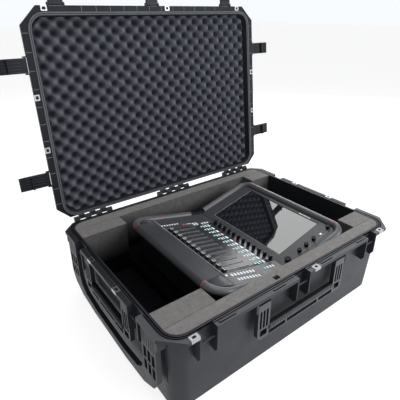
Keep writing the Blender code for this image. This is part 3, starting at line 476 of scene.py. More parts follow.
def rounded_rect(half_x, half_y, radius, steps=8):
    points = []
    for quarter, (sx, sy) in enumerate(((1, 1), (-1, 1), (-1, -1), (1, -1))):
        for i in range(steps + 1):
            turn = math.pi / 2 * (quarter + i / steps)
            points.append(Vector((sx * (half_x - radius) + radius * math.cos(turn),
                                  sy * (half_y - radius) + radius * math.sin(turn))))
    return points


def join_rings(shape, here, there):
    """Faces between two rings of as many vertices."""
    count = len(here)
    for i in range(count):
        other = (i + 1) % count
        shape.faces.new((here[i], here[other], there[other], there[i]))


def skinned(name, outlines, look, smooth=50):
    """A solid skin over outlines of as many points, with both ends closed."""
    shape = bmesh.new()
    rings = [[shape.verts.new(point) for point in outline] for outline in outlines]
    for here, there in zip(rings, rings[1:]):
        join_rings(shape, here, there)
    shape.faces.new(rings[0])
    shape.faces.new(rings[-1])
    return finish_mesh(name, shape, look, smooth)


def add_frame(shape, inner, outer, low, high, lay):
    """A flat ring between two outlines of as many points."""
    rings = [[shape.verts.new(lay @ Vector((point.x, point.y, z))) for point in outline]
             for outline, z in ((inner, low), (inner, high), (outer, high), (outer, low))]
    for k in range(4):
        join_rings(shape, rings[k], rings[(k + 1) % 4])


def add_band(shape, inner, profile, lay=Matrix.Identity(4)):
    """A profile of (outward, z) points swept round a closed outline in plan."""
    count = len(inner)
    rings = []
    for i, point in enumerate(inner):
        along = (inner[(i + 1) % count] - inner[i - 1]).normalized()
        out = Vector((along.y, -along.x))
        rings.append([shape.verts.new(lay @ Vector((point.x + out.x * reach, point.y + out.y * reach, z)))
                      for reach, z in profile])
    for i in range(count):
        join_rings(shape, rings[i], rings[(i + 1) % count])


# ------------ camera, light and floor
def camera():
    """A view from the front left, above the rim, that crops the top edge of the lid."""
    yaw, pitch, roll = (math.radians(angle) for angle in (36.7254, 23.5316, -0.2957))
    ahead = Vector((math.sin(yaw) * math.cos(pitch), math.cos(yaw) * math.cos(pitch), -math.sin(pitch)))
    right = Vector((math.cos(yaw), -math.sin(yaw), 0.0))
    up = right.cross(ahead)
    turned_right = right * math.cos(roll) + up * math.sin(roll)
    turned_up = up * math.cos(roll) - right * math.sin(roll)
    data = bpy.data.cameras.new("camera")
    data.sensor_width = 36.0
    data.lens = 34.403
    data.shift_y = -0.0513
    data.clip_start = 0.02
    data.clip_end = 60.0
    obj = bpy.data.objects.new("camera", data)
    bpy.context.scene.collection.objects.link(obj)
    turn = Matrix((turned_right, turned_up, -ahead)).transposed().to_4x4()
    obj.matrix_world = Matrix.Translation((-0.77167, -0.87873, RIM + 0.6763)) @ turn
    bpy.context.scene.camera = obj


def area_light(name, spot, target, size, power, colour=(1.0, 1.0, 1.0)):
    data = bpy.data.lights.new(name, "AREA")
    data.shape = "RECTANGLE"
    data.size, data.size_y = size
    data.energy = power
    data.color = colour
    obj = bpy.data.objects.new(name, data)
    obj.location = spot
    obj.rotation_euler = (Vector(target) - Vector(spot)).to_track_quat("-Z", "Y").to_euler()
    bpy.context.scene.collection.objects.link(obj)


def studio():
    """A surround that is dimmer overhead than near the horizon, soft lights and a pale floor."""
    world = bpy.data.worlds.new("studio")
    world.use_nodes = True
    tree = world.node_tree
    direction = tree.nodes.new("ShaderNodeTexCoord")
    parts = tree.nodes.new("ShaderNodeSeparateXYZ")
    ramp = tree.nodes.new("ShaderNodeMapRange")
    for name, value in (("From Min", 0.06), ("From Max", 0.2), ("To Min", 1.0), ("To Max", 0.2)):
        ramp.inputs[name].default_value = value
    surround = tree.nodes["Background"]
    surround.inputs["Color"].default_value = (0.94, 0.97, 1.0, 1.0)
    tree.links.new(direction.outputs["Generated"], parts.inputs["Vector"])
    tree.links.new(parts.outputs["Z"], ramp.inputs["Value"])
    tree.links.new(ramp.outputs["Result"], surround.inputs["Strength"])
    bpy.context.scene.world = world
    bpy.context.scene.view_settings.view_transform = "Standard"
    area_light("key_softbox", (1.4, -2.3, 1.5), (0.1, 0.0, 0.2), (2.2, 2.0), 60.0, (0.97, 0.98, 1.0))
    area_light("left_softbox", (-1.5, -1.2, 3.0), (0.0, 0.0, 0.2), (2.0, 2.0), 14.0)
    area_light("screen_card", (1.45, 1.5, 2.45), (0.2, -0.1, 0.25), (1.8, 1.8), 17.0)
    area_light("panel_card", (2.6, 2.2, 1.2), (0.0, -0.1, 0.2), (3.4, 2.0), 62.0)
    area_light("top_softbox", (0.3, -0.2, 3.2), (0.0, 0.0, 0.2), (2.4, 2.0), 36.0)
    area_light("front_card", (1.15, -1.25, 0.45), (0.34, -0.33, 0.14), (0.9, 0.7), 5.0)
    shape = bmesh.new()
    bmesh.ops.create_grid(shape, x_segments=1, y_segments=1, size=30.0)
    floor_look = Look("pale_floor", (0.3, 0.3, 0.3), 0.7, Emission_Strength=0.85)
    floor_look.shader.inputs["Emission Color"].default_value = (1.0, 1.0, 1.0, 1.0)
    floor_look.tint(floor_look.noise(0.4, 2.0), (0.32, 0.32, 0.32))
    floor = finish_mesh("floor", shape, floor_look, 0)
    floor.location.z = -0.0005


# ------------ case shells
def bay_frames():
    """Each latch bay as a frame on the flange edge: x along the edge, y outward, z up, at the rim."""
    for side, (out, along, edge) in {
            "front": (Vector((0, -1, 0)), Vector((1, 0, 0)), FLANGE_FRONT),
            "left": (Vector((-1, 0, 0)), Vector((0, -1, 0)), FLANGE_X),
            "right": (Vector((1, 0, 0)), Vector((0, 1, 0)), FLANGE_X)}.items():
        for name, joint in JOINTS.items():
            if name.startswith(f"latch_{side}_"):
                pivot = LID_OPEN.inverted() @ Vector(joint["pos_m"])
                middle = Vector((pivot.x, 0, RIM)) if side == "front" else Vector((0, pivot.y, RIM))
                yield name[6:-6], upright(along, out, out * edge + middle), along, out


def rod(name, radius, low, high, lay):
    """A round bar along the laid z axis."""
    shape = bmesh.new()
    bmesh.ops.create_cone(shape, cap_ends=True, segments=28, radius1=radius, radius2=radius, depth=high - low)
    bmesh.ops.translate(shape, vec=(0, 0, (low + high) / 2), verts=shape.verts)
    bmesh.ops.transform(shape, matrix=lay, verts=shape.verts)
    return finish_mesh(name, shape, CASE)


def ring_cutter(name, reach):
    """The cutter of a groove round the rim that starts at reach outside the wall."""
    low, high, over = RIM - GROOVE_DEEP, RIM + GROOVE_OVER, reach + GROOVE_WIDE
    shape = bmesh.new()
    add_band(shape, rim_outline(), [(reach, low), (reach, high), (over, high), (over, low)])
    return finish_mesh(name, shape, CASE)


def base_shell():
    """The shell: grooves in its rim, side and back, hooked slots, padlock holes, and the top of its front
    flange painted paler as a painted reflection.
    """
    shell = copy_node("base_shell", CASE, "base_shell_moulded")
    lean = Matrix.Rotation(-DRAFT_ANGLE, 4, "Y")
    channel = Matrix.Translation((-INSIDE_X - WALL, -0.2895, RIM)) @ lean
    cutters = [box_object("side_channel", (-0.01, -0.0045, -0.172), (0.0034, 0.0045, -0.1), channel),
               box_object("side_line", (-0.01, -0.0012, -0.101), (0.002, 0.0012, -0.058), channel)]
    back = Matrix.Translation((0, INSIDE_Y + WALL, RIM)) @ Matrix.Rotation(-DRAFT_ANGLE, 4, "X")
    for x in [-0.36 + 0.09 * i for i in range(9)]:
        low, high = (x - 0.005, -0.0016, -0.205), (x + 0.005, CUT_OVER, -0.085)
        cutters.append(box_object("back_groove", low, high, back))
    cutters += [ring_cutter("inner_groove", INNER_GROOVE), ring_cutter("outer_groove", OUTER_GROOVE)]
    bottom, top = RIM - SLOT_DEEP, RIM + GROOVE_OVER
    for low, high in FLANGE_SLOTS:
        cutters.append(box_object("slot", (low, SLOT_NEAR, bottom), (high, SLOT_FAR, top)))
        hook_low, hook_high = (low - 0.0036, SLOT_NEAR, bottom), (low + 0.0002, SLOT_FAR + 0.0034, top)
        cutters.append(box_object("slot_hook", hook_low, hook_high))
    for edge, _, out in plate_spots():
        hole = Matrix.Translation(edge - out * PLATE_IN)
        cutters.append(rod("padlock_hole", PLATE_HOLE, RIM - 0.02, RIM + CUT_OVER, hole))
    carve(shell, cutters)
    soft_edges(shell, 0.0006)
    # The top of the front flange takes the lighter copy: a painted reflection of the bright surround.
    shell.data.materials.append(CASE_LIT.made)
    for face in shell.data.polygons:
        middle = face.center
        on_top = face.normal.z > 0.7 and abs(middle.z - RIM + FLANGE_DROP) < 0.001
        if on_top and middle.y < -INSIDE_Y and middle.x > -0.42:
            face.material_index = 1
    attach(shell, "base", ["base_shell"])


def bay_openings():
    """Boxes that clear a rim band out of the latch bays."""
    return [box_object("bay_opening", (-0.031, -0.0216, -0.012), (0.031, 0.002, 0.004), lay)
            for _, lay, _, _ in bay_frames()]


def rim_bands():
    """The band on top of the wall and the lip outside the grooves, a little above the flange, painted lighter
    than the case as a painted highlight.
    """
    outline = rim_outline()
    for name, inner, outer, high in (("rim_top_band", -0.0046, 0.0002, -0.0001),
                                     ("rim_outer_lip", 0.0096, 0.0106, -0.0008)):
        shape = bmesh.new()
        add_band(shape, outline, [(inner, -0.004), (inner, high - 0.0004), (inner + 0.0004, high),
                                  (outer - 0.0004, high), (outer, high - 0.0004), (outer, -0.004)],
                 Matrix.Translation((0, 0, RIM)))
        band = finish_mesh(name, shape, CASE_LIT)
        if inner > 0:
            carve(band, bay_openings())
        attach(band, "base")


def groove_shadows():
    """Nearly black strips down in the rim's grooves and on the floors of the hooked slots: painted shadow."""
    outline = rim_outline()
    lay = Matrix.Translation((0, 0, RIM))
    shape = bmesh.new()
    for reach in (INNER_GROOVE + 0.0002, OUTER_GROOVE + 0.0002):
        over = reach + GROOVE_WIDE - 0.0004
        add_band(shape, outline, [(reach, -0.004), (reach, -0.0017), (over, -0.0017), (over, -0.004)], lay)
    near, bottom, top = SLOT_NEAR + 0.0001, -0.009, -0.0018
    for low, high in FLANGE_SLOTS:
        add_box(shape, (low + 0.0003, near, bottom), (high - 0.0001, SLOT_FAR - 0.0001, top), lay)
        add_box(shape, (low - 0.0035, near, bottom), (low, SLOT_FAR + 0.0033, top), lay)
    attach(carve(finish_mesh("rim_groove_painted_shadows", shape, GROOVE_SHADE, 0), bay_openings()), "base")


def lid_shell():
    """The lid with stacking grooves in its outside, and the faces round its rim painted nearly black as
    painted shade.
    """
    shell = copy_node("lid_shell", CASE, "lid_shell_moulded")
    top = RIM + LID_DEPTH
    plans = []
    for side in (-1, 1):
        near, far = sorted((side * 0.04, side * 0.375))
        plans += [(near, far, -0.245 + 0.096 * i, -0.235 + 0.096 * i) for i in range(6)]
        plans += [(x - 0.0035, x + 0.0035, -0.245, 0.245) for x in (side * 0.0365, side * 0.3785)]
    carve(shell, [box_object("groove", (near, low, top - 0.0018), (far, high, top + CUT_OVER), LID_OPEN)
                  for near, far, low, high in plans])
    soft_edges(shell, 0.0007)
    # Faces round the lid's rim that face out of it take the nearly black copy: painted shade.
    shell.data.materials.append(CASE_SHADE.made)
    for face in shell.data.polygons:
        if face.center.dot(INTO_LID) < LID_RIM + 0.003 and face.normal.dot(INTO_LID) < -0.7:
            face.material_index = 1
    attach(shell, "lid", ["lid_shell"])
    # The ridge inside the lid's rim takes the lighter copy: painted highlight.
    shape = bmesh.new()
    add_band(shape, rim_outline(),
             [(-0.005, 0.006), (-0.005, 0.0016), (-0.004, 0.0006), (-0.0022, 0.0003), (-0.0006, 0.0006),
              (0.0004, 0.0016), (0.0004, 0.006)], LID_OPEN @ Matrix.Translation((0, 0, RIM)))
    place("lid_inner_ridge", shape, CASE_LIT, "lid")


def flange_ribs():
    """Thin ribs across the lid's flange, seen from the inside when it is open, painted much paler than the
    case as a painted highlight.
    """
    shape = bmesh.new()
    half, start, stop, inset = 0.0007, RIM + 0.0002, RIM + 0.0016, 0.0006
    inner_y, inner_x = INSIDE_Y + WALL + 0.0072, INSIDE_X + WALL + 0.0072
    for x in [-0.275 + 0.0495 * i for i in range(12)]:
        add_box(shape, (x - half, -FLANGE_FRONT + inset, start), (x + half, -inner_y, stop), LID_OPEN)
    for y in [-0.275 + 0.055 * i for i in range(11)]:
        for sign in (-1, 1):
            low, high = sorted((sign * inner_x, sign * (FLANGE_X - inset)))
            add_box(shape, (low, y - half, start), (high, y + half, stop), LID_OPEN)
    place("lid_flange_ribs", shape, CASE_RIB_LIT, "lid", 0)


def plate_spots():
    """Each padlock hole: its place on the flange edge, and the ways along and out of the edge."""
    for x in (-0.392, 0.047, 0.385):
        yield Vector((x, -FLANGE_FRONT, 0)), Vector((1, 0, 0)), Vector((0, -1, 0))
    for sign in (-1, 1):
        for y in (-0.085, 0.085):
            yield Vector((sign * FLANGE_X, y, 0)), Vector((0, sign, 0)), Vector((sign, 0, 0))


def padlock_plates():
    """Steel reinforcing plates with a round hole, folded over the edge of both flanges."""
    thick, fold = 0.0009, 0.0085
    for body, opened, face, up, half in (("base", Matrix.Identity(4), RIM - FLANGE_DROP, 1, 0.0125),
                                         ("lid", LID_OPEN, RIM + 0.0012, -1, 0.0095)):
        shape = bmesh.new()
        for edge, along, out in plate_spots():
            lay = opened @ upright(along, out, edge + Vector((0, 0, face)))
            if lay.to_3x3().col[2].dot(opened.to_3x3() @ Vector((0, 0, 1))) < 0:
                lay = lay @ Matrix.Scale(-1, 4, (0, 0, 1))
            rim = [point - Vector((0, PLATE_IN)) for point in rounded_rect(half, 0.0078, 0.002)]
            middle = Vector((0, -PLATE_IN))
            hole = [middle + (point - middle).normalized() * PLATE_HOLE for point in rim]
            add_frame(shape, hole, rim, 0.0, up * thick, lay)
            low, high = sorted((up * thick, -up * fold))
            add_box(shape, (-half, -0.0004, low), (half, 0.0007, high), lay)
        place(f"padlock_plates_{body}", shape, STEEL, body)


# ------------ soft pieces
def egg_height(x, y, pitch=0.05):
    """A staggered lattice of round peaks, from -1 in a dip to 1 on a peak."""
    wave = math.cos(2 * math.pi * x / (1.05 * pitch)) * math.cos(2 * math.pi * y / pitch)
    return math.copysign(abs(wave) ** 0.85, wave)


def to_rounded(x, y, half_x, half_y, radius):
    """Squeeze a point of the full rectangle into the rounded one."""
    over_x = abs(x) - (half_x - radius)
    over_y = abs(y) - (half_y - radius)
    if over_x <= 0 or over_y <= 0:
        return x, y
    u, v = over_x / radius, over_y / radius
    bent_x = u * math.sqrt(1 - v * v / 2) * radius
    bent_y = v * math.sqrt(1 - u * u / 2) * radius
    return math.copysign(half_x - radius + bent_x, x), math.copysign(half_y - radius + bent_y, y)


def lid_foam():
    """An egg-crate sheet with a flat back, its corners rounded to fit the lid."""
    half_x, half_y, radius = INSIDE_X - 0.003, INSIDE_Y - 0.003, 0.04
    step = 0.0042
    count_x = round(2 * half_x / step)
    count_y = round(2 * half_y / step)
    peak, swing, back = RIM + 0.015, 0.0125, RIM + LID_DEPTH - WALL - 0.002
    shape = bmesh.new()
    front = []
    random.seed(4)
    for i in range(count_x + 1):
        row = []
        for j in range(count_y + 1):
            x = -half_x + 2 * half_x * i / count_x
            y = -half_y + 2 * half_y * j / count_y
            height = peak + swing - swing * egg_height(x, y) + random.uniform(-0.0003, 0.0003)
            px, py = to_rounded(x, y, half_x, half_y, radius)
            row.append(shape.verts.new((px, py, height)))
        front.append(row)
    for i in range(count_x):
        for j in range(count_y):
            shape.faces.new((front[i][j], front[i][j + 1], front[i + 1][j + 1], front[i + 1][j]))
    rim = [edge for edge in shape.edges if len(edge.link_faces) == 1]
    walls = bmesh.ops.extrude_edge_only(shape, edges=rim)["geom"]
    backs = [item for item in walls if isinstance(item, bmesh.types.BMVert)]
    for vert in backs:
        vert.co.z = back
        vert.co.x *= 0.982
        vert.co.y *= 0.976
    bmesh.ops.contextual_create(shape, geom=[item for item in walls if isinstance(item, bmesh.types.BMEdge)
                                             and len(item.link_faces) == 1])
    bmesh.ops.transform(shape, matrix=LID_OPEN, verts=shape.verts)
    foam = finish_mesh("lid_egg_crate_foam", shape, LID_FOAM, 60)
    attach(foam, "lid", ["lid_foam"])


def insert_foam():
    """The insert with its seams and its blocks beside the well a little darker; its sides, lower faces and
    the floor sheet are darkened as painted shade.
    """
    block = copy_node("base_foam", INSERT_FOAM, "base_foam_cut")
    top = RIM + CUT_OVER
    seams = [box_object("notch", (-0.092, -0.3165, RIM - 0.022), (-0.072, -0.301, top))]
    for x_low, x_high in ((-0.45, WELL_LEFT), (WELL_RIGHT, 0.45)):
        for y in (RECESS_NEAR, RECESS_FAR):
            seams.append(box_object("seam", (x_low, y - 0.0005, RIM - 0.016), (x_high, y + 0.0005, top)))
    carve(block, seams)
    soft_edges(block, 0.001)
    block.data.materials.append(CORNER_FOAM.made)
    block.data.materials.append(WALL_FOAM_SHADED.made)
    for face in block.data.polygons:
        middle = face.center
        beside = middle.x < WELL_LEFT + 0.001 or middle.x > WELL_RIGHT - 0.001
        # Sides and lower faces take the darker foam: painted shade.
        if face.normal.z < 0.7 or middle.z < RIM - 0.03:
            face.material_index = 2
        elif beside and RECESS_NEAR < middle.y < RECESS_FAR:
            face.material_index = 1
    attach(block, "base", ["base_foam"])
    # The floor sheet is nearly black: painted shade at the bottom of the well.
    floor = copy_node("floor_foam", FLOOR_FOAM_SHADED, "floor_foam_cut")
    soft_edges(floor, 0.0015)
    attach(floor, "base", ["floor_foam"])


# ------------ hardware
def plain_bits():
    """CAD nodes shown as they are: steel pins and axles, and the lid's rubber seal."""
    for node in NODES:
        if node.startswith(("hinge_pin_", "wheel_axle_")):
            dress(NODES[node], STEEL)
    dress(NODES["lid_seal"], GASKET)


def wheels():
    for name in ("near", "far"):
        node = f"wheel_{name}"
        low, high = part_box(node)
        centre = (low + high) / 2
        recast(node, RUBBER, node, 0.0008, f"{node}_tyre")
        lay = Matrix.Translation(centre) @ Matrix.Rotation(math.pi / 2, 4, "X")
        shape = bmesh.new()
        half = (high.y - low.y) / 2
        for turn in range(6):
            spoke = lay @ Matrix.Rotation(math.pi / 3 * turn, 4, "Z")
            for side in (-1, 1):
                start, stop = sorted((side * (half - 0.0012), side * (half - 0.0056)))
                add_box(shape, (0.0125, -0.0016, start), (0.0265, 0.0016, stop), spoke)
        place(f"{node}_spokes", shape, HUB, node)


def handles():
    """Each carry handle gets a ribbed rubber grip; the pull handle gets ribs at the top of its arms."""
    for name, (out, half) in HANDLES.items():
        lay = upright(Vector((0, 0, 1)).cross(Vector(out)), (0, 0, 1), JOINTS[f"{name}_swing"]["pos_m"])
        bail = copy_node(name, CASE, f"{name}_bail")
        if name == "pull_handle":
            grooves = [box_object("groove", (x - 0.0011, -0.034, 0.0098), (x + 0.0011, 0.0045, 0.013), lay)
                       for side in (-1, 1) for x in [side * (half - 0.01 - 0.011 * k) for k in range(6)]]
            carve(bail, grooves)
        soft_edges(bail, 0.0008)
        # The front handle's forward faces take the lighter copy: painted light on the side facing the lamps.
        if name == "front_handle":
            bail.data.materials.append(HANDLE_LIT.made)
            for face in bail.data.polygons:
                if face.normal.y < -0.8:
                    face.material_index = 1
        attach(bail, name, [name])
        if name != "pull_handle":
            handle_grip(name, lay, half - 0.045)


def handle_grip(name, lay, reach):
    """A rubber sleeve with fine ribs round the handle's bar."""
    outline = [(0.0, -0.0064), (0.0072, -0.0064), (0.0129, -0.0012), (0.0129, 0.0062), (0.0083, 0.0119),
               (0.001, 0.0129), (-0.0062, 0.0103), (-0.0079, 0.0042), (-0.0079, -0.0022), (-0.0043, -0.0064)]
    steps = 120
    rings = []
    for i in range(steps + 1):
        x = reach * (2 * i / steps - 1)
        swell = 1.0 if i % 4 in (1, 2) else 0.93
        rings.append([lay @ Vector((x, GRIP_DROP + z * swell, 0.002 + y * swell)) for y, z in outline])
    attach(skinned(f"{name}_grip", rings, GRIP), name)


def latches():
    """Ribbed levers with a rougher patch at the free end; the ribs are painted lighter than the lever as a
    painted highlight.
    """
    soft = 0.0003
    for bay, _, along, out in bay_frames():
        node = f"latch_{bay}"
        recast(node, LATCH, node, 0.0008, f"{node}_lever")
        pivot = LID_OPEN.inverted() @ Vector(JOINTS[f"{node}_pivot"]["pos_m"])
        lever_lay = LID_OPEN @ upright(along, out, pivot)
        shape = bmesh.new()
        for i in range(5):
            x = -0.0184 + i * 0.0092
            for low, high in ((0.006, 0.048), (0.0575, 0.073)):
                add_box(shape, (x - RIB_HALF, low, -0.0054), (x + RIB_HALF, high, -0.0036), lever_lay, soft)
            add_box(shape, (x - RIB_HALF, 0.016, 0.005), (x + RIB_HALF, 0.072, 0.0074), lever_lay, soft)
        for y in (0.006, 0.027, 0.0475):
            add_box(shape, (-0.02, y - RIB_HALF, -0.0054), (0.02, y + RIB_HALF, -0.0036), lever_lay, soft)
        place(f"{node}_ribs", shape, LATCH_RIB_LIT, node)
        shape = bmesh.new()
        add_box(shape, (-0.0195, 0.0765, -0.0036), (0.0195, 0.09, -0.0012), lever_lay, 0.0004)
        place(f"{node}_finger_patch", shape, LATCH_PATCH, node)


# ------------ console
FRONT_LAY = upright((math.cos(FRONT_SLOPE), 0, -math.sin(FRONT_SLOPE)), (0, 1, 0), KINK)
REAR_LAY = upright((math.cos(REAR_SLOPE), 0, math.sin(REAR_SLOPE)), (0, 1, 0), KINK)


def on_front(x):
    return (x - KINK.x) / math.cos(FRONT_SLOPE)


def on_rear(x):
    return (x - KINK.x) / math.cos(REAR_SLOPE)


def console_body():
    recast("console_chassis", CHASSIS, "console", 0.0008)
    recast("console_control_panel", METAL, "console", 0.0003, segments=1)
    channels = copy_node("console_control_panel", CHANNEL_GLOSS, "console_channel_sheet")
    inside = box_object("inside", (on_front(-0.1772), CHANNELS_NEAR, -0.001), (-0.0012, CHANNELS_FAR, 0.004),
                        FRONT_LAY)
    carve(channels, [inside], "INTERSECT")
    channels.data.transform(Matrix.Translation(FRONT_LAY.to_3x3() @ Vector((0, 0, 0.0003))))
    attach(channels, "console")
    recast("console_screen_panel", METAL, "console", 0.0004, segments=1)
    armrest()
    edge = on_front(PANEL_EDGE)
    filler = box_object("console_edge_filler", (edge - 0.0036, -0.2535, -0.004),
                        (edge + 0.0006, 0.1985, 0.0001), FRONT_LAY, 0.0, METAL)
    attach(filler, "console")
    dress(NODES["console_screen"], GLASS)


def armrest():
    """The pad, divided across its ends and worked down there to meet the panel and the tube."""
    rest = copy_node("console_armrest", VINYL)
    low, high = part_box("console_armrest")
    shape = bmesh.new()
    shape.from_mesh(rest.data)
    cuts = [low.y + 0.004 * i for i in range(1, 17)] + [high.y - 0.004 * i for i in range(1, 17)]
    for y in cuts:
        bmesh.ops.bisect_plane(shape, geom=shape.verts[:] + shape.edges[:] + shape.faces[:],
                               plane_co=(0, y, 0), plane_no=(0, 1, 0))
    for vert in shape.verts:
        near_end = min(vert.co.y - low.y, high.y - vert.co.y)
        fall = max(0.0, 1.0 - near_end / ARMREST_ROLL)
        over = vert.co.z - (KINK.z + math.tan(FRONT_SLOPE) * (KINK.x - vert.co.x))
        if over > 0:
            vert.co.z -= ARMREST_FALL * over * fall * fall * (3.0 - 2.0 * fall)
    shape.to_mesh(rest.data)
    shape.free()
    soft_edges(rest, 0.003, 3)
    attach(rest, "console", ["console_armrest"])


def on_tube(x, y, slope):
    """A point of the guard tube's middle line, which slopes away from its kink."""
    return Vector((x, CONSOLE_Y + y, TUBE_KINK_Z + slope * (x - TUBE_KINK_X)))


def tube_path(length):
    """One length of the guard tube, from its far end round to its near end."""
    sign, x_end, bar_x, radius, slope = length
    centre_x = bar_x - sign * radius
    half = [(x_end, TUBE_SIDE)]
    for i in range(19):
        turn = math.pi / 2 * (1 - i / 18)
        half.append((centre_x + sign * radius * math.cos(turn), TUBE_SIDE - radius + radius * math.sin(turn)))
    return [on_tube(x, y, slope) for x, y in half + [(x, -y) for x, y in reversed(half)]]


def pipe(name, path, radius, look, sides=24):
    """A round bar along a path, its ends closed."""
    rings = []
    for i, point in enumerate(path):
        along = (path[min(i + 1, len(path) - 1)] - path[max(i - 1, 0)]).normalized()
        side = along.cross(Vector((0, 0, 1))).normalized()
        up = side.cross(along)
        rings.append([point + radius * (side * math.cos(a) + up * math.sin(a))
                      for a in (2 * math.pi * k / sides for k in range(sides))])
    return skinned(name, rings, look)


def tubes():
    """The guard tube in its two lengths, with thin coloured rings."""
    for name, length in TUBE_LENGTHS.items():
        attach(pipe(f"{name}_round", tube_path(length), TUBE_R, TUBE), "console", [name])
    slope = TUBE_LENGTHS["console_tube_front"][4]
    marks = []
    for x in (-0.138, -0.044):
        for side in (-1, 1):
            marks.append((on_tube(x, side * TUBE_SIDE, slope), Vector((1, 0, slope)).normalized()))
    for name, reach in (("console_tube_front", 0.1875), ("console_tube_rear", 0.202)):
        _, _, bar_x, _, bar_slope = TUBE_LENGTHS[name]
        for side in (-1, 1):
            marks.append((on_tube(bar_x, side * reach, bar_slope), Vector((0, 1, 0))))
    for i, (spot, along) in enumerate(marks):
        path = [spot - along * 0.0014, spot, spot + along * 0.0014]
        attach(pipe(f"console_tube_ring_{i}", path, TUBE_R + 0.0004, RING), "console")


def armrest_sleeve():
    """The padded cover over the front bar, between its rings, that runs into the armrest."""
    _, _, bar_x, _, slope = TUBE_LENGTHS["console_tube_front"]
    bar_z = on_tube(bar_x, 0.0, slope).z
    over = TUBE_R + 0.0006
    profile = [(-0.205, RIM + 0.004), (-0.215, RIM + 0.0054), (-0.23, RIM + 0.008), (-0.245, RIM + 0.0113)]
    profile += [(bar_x + over * math.cos(a), bar_z + over * math.sin(a))
                for a in (math.radians(75 + 13 * i) for i in range(16))]
    profile += [(-0.251, RIM - 0.013), (-0.23, RIM + 0.001)]
    low, high = CONSOLE_Y - 0.185, CONSOLE_Y + 0.185
    ends = (0.0, 0.0008, 0.003)
    stops = [low + step for step in ends] + [high - step for step in reversed(ends)]
    rings = []
    for i, y in enumerate(stops):
        shrink = (0.0012, 0.0004, 0.0)[min(i, len(stops) - 1 - i)]
        rings.append([(x, y, z - shrink) for x, z in profile])
    attach(skinned("console_armrest_sleeve", rings, VINYL, 60), "console")


def keys():
    """Faintly lit keys, in rows across the control surface and beside it."""
    made = {look: bmesh.new() for look in (KEY_WHITE, KEY_CYAN, KEY_PINK, KEY_RED)}

    def key(x, y, long, wide, look=KEY_WHITE, rear=False):
        lay, u = (REAR_LAY, on_rear(x)) if rear else (FRONT_LAY, on_front(x))
        low = (u - long / 2, y - wide / 2, -0.0002)
        add_box(made[look], low, (u + long / 2, y + wide / 2, KEY_HIGH), lay, 0.0006)

    for index, channel in enumerate(CHANNELS):
        y = channel_y(channel)
        key(-0.0385, y, 0.0056, 0.0062)
        key(-0.0275, y + 0.003, 0.006, 0.006, KEY_CYAN)
        key(-0.0275, y - 0.0042, 0.006, 0.006)
        key(-0.0165, y + 0.0036, 0.005, 0.006)
        key(-0.0165, y - 0.004, 0.005, 0.0062, KEY_CYAN if index % 3 else KEY_WHITE)
        key(-0.0035, y, 0.008, 0.014, KEY_PINK if index == 3 else KEY_WHITE)
    for i in range(7):
        key(-0.176 + i * 0.0108, 0.147, 0.0054, 0.0064)
    for i in range(4):
        key(-0.093 + i * 0.01, 0.135, 0.0046, 0.0055, KEY_RED if i < 2 else KEY_WHITE)
    for i in range(2):
        for j in range(2):
            key(-0.052 + i * 0.012, 0.122 + j * 0.01, 0.008, 0.006)
    for i in range(3):
        key(-0.016 + i * 0.0125, 0.1235, 0.008, 0.007)
    key(-0.175, -0.203, 0.0076, 0.007)
    for i in range(8):
        key(-0.157 + i * 0.0113, -0.2075 - i * 0.001, 0.006, 0.011)
        key(-0.153 + i * 0.0106, -0.233 - i * 0.0012, 0.0056, 0.011)
    for i in range(4):
        key(-0.03 + i * 0.0125, -0.217, 0.0064, 0.0095, KEY_WHITE if i else KEY_CYAN)
    key(0.224, -0.228, 0.008, 0.008, rear=True)
    for look, shape in made.items():
        place(f"console_{look.made.name}_caps", shape, look, "console")


def panel_print():
    """Scale ticks beside the fader slots, trim lines, and a plain pale badge."""
    shape = bmesh.new()
    start = on_front(-0.1695)
    for channel in CHANNELS:
        y = channel_y(channel)
        for k in range(11):
            u = start + FADER_TRAVEL * k / 10
            long = 0.005 if k % 5 == 0 else 0.0032
            low = (u - TICK_HALF, y - 0.0052 - long, 0.0001)
            add_box(shape, low, (u + TICK_HALF, y - 0.0052, 0.0004), FRONT_LAY)
        for side in (-1, 1):
            edge = y + side * 0.0026
            add_box(shape, (start - 0.0045, edge - TICK_HALF, 0.0001),
                    (start + FADER_TRAVEL + 0.0045, edge + TICK_HALF, 0.0005), FRONT_LAY)
    place("console_fader_scales", shape, TRIM, "console", 0)
    shape = bmesh.new()

    def line(lay, a, b, c, d):
        add_box(shape, (min(a, c), min(b, d), 0.0), (max(a, c), max(b, d), 0.0008), lay)

    left, thin = on_front(-0.1802), 0.0014
    line(FRONT_LAY, left, CHANNELS_NEAR, left + 0.0026, 0.196)
    line(FRONT_LAY, left, CHANNELS_NEAR, -0.002, CHANNELS_NEAR + thin)
    line(FRONT_LAY, -0.003, CHANNELS_NEAR, -0.0018, CHANNELS_FAR)
    low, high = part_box("console_screen")
    u0, u1 = on_rear(low.x + 0.0005), on_rear(high.x)
    line(REAR_LAY, u0 - 0.003, low.y - 0.0022, u0 - 0.002, high.y + 0.0022)
    line(REAR_LAY, u0 - 0.003, high.y + 0.0012, u1 + 0.003, high.y + 0.0022)
    line(REAR_LAY, on_rear(0.11), -0.2375, on_rear(0.25), -0.2368)
    place("console_trim_lines", shape, TRIM, "console", 0)
    badge = box_object("console_plain_badge", (u1 + 0.0062, -0.15, 0.0), (u1 + 0.01, -0.098, 0.0006),
                       REAR_LAY, 0.0002, PALE_PRINT_AND_GLINT)
    attach(badge, "console")
    border = box_object("console_screen_border", (u1 + 0.0006, low.y - 0.001, 0.0),
                        (u1 + 0.0048, high.y, 0.0005), REAR_LAY, 0.0, KNOB)
    attach(border, "console")


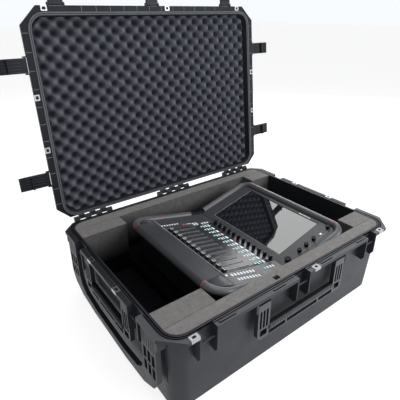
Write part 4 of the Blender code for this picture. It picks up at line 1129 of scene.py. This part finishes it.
def faders():
    for channel in CHANNELS:
        node = f"fader_{channel}"
        low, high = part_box(node)
        cap = copy_node(node, KNOB, f"{node}_cap")
        middle = (low + high) / 2
        narrow = Matrix.Diagonal((0.84, 0.86, 1.0, 1.0))
        cap.data.transform(Matrix.Translation(middle) @ narrow @ Matrix.Translation(-middle))
        soft_edges(cap, 0.0008)
        attach(cap, node, [node])
        shape = bmesh.new()
        lay = FRONT_LAY @ Matrix.Translation((on_front(middle.x), middle.y, 0))
        # A printed line across the cap, then pale strips at both ends of its top as painted highlights.
        add_box(shape, (-0.0009, -0.006, 0.0096), (0.0009, 0.006, 0.0104), lay)
        for x in (-0.0058, 0.0042):
            add_box(shape, (x, -0.0052, 0.0112), (x + 0.0016, 0.0052, 0.0124), lay)
        place(f"{node}_mark", shape, PALE_PRINT_AND_GLINT, node, 0)


def knurled(name, body, lay, radius, height):
    """A knob with fine flutes down its side and a dished top."""
    sides = 48
    levels = [(0.0009, 1.0), (height * 0.84, 0.99), (height * 0.96, 0.95), (height, 0.84),
              (height - 0.0006, 0.55)]
    rings = []
    for level, (z, share) in enumerate(levels):
        ring = []
        for i in range(sides):
            flute = 0.96 if level < 2 and i % 2 else 1.0
            turn = 2 * math.pi * i / sides
            reach = radius * share * flute
            ring.append(lay @ Vector((reach * math.cos(turn), reach * math.sin(turn), z)))
        rings.append(ring)
    return attach(skinned(name, rings, KNOB, 35), body)


def knobs():
    for node in [f"encoder_{channel}" for channel in CHANNELS] + list(SIDE_KNOBS):
        joint = JOINTS[f"{node}_turn"]
        slope = FRONT_LAY if node.startswith("encoder") else REAR_LAY
        lay = Matrix.Translation(joint["pos_m"]) @ slope.to_3x3().to_4x4()
        radius, height = (0.0062, 0.0165) if node.startswith("encoder") else (0.007, 0.012)
        if node == "menu_knob":
            radius = 0.0105
        cap = knurled(f"{node}_cap", node, lay, radius, height)
        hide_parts(node)
        shape = bmesh.new()
        add_box(shape, (-radius * 0.97, -0.0004, height * 0.35), (-radius * 0.8, 0.0004, height * 0.93), lay)
        place(f"{node}_mark", shape, PALE_PRINT_AND_GLINT, node, 0)


camera()
studio()
base_shell()
rim_bands()
groove_shadows()
lid_shell()
flange_ribs()
padlock_plates()
lid_foam()
insert_foam()
plain_bits()
wheels()
handles()
latches()
console_body()
tubes()
armrest_sleeve()
keys()
panel_print()
faders()
knobs()
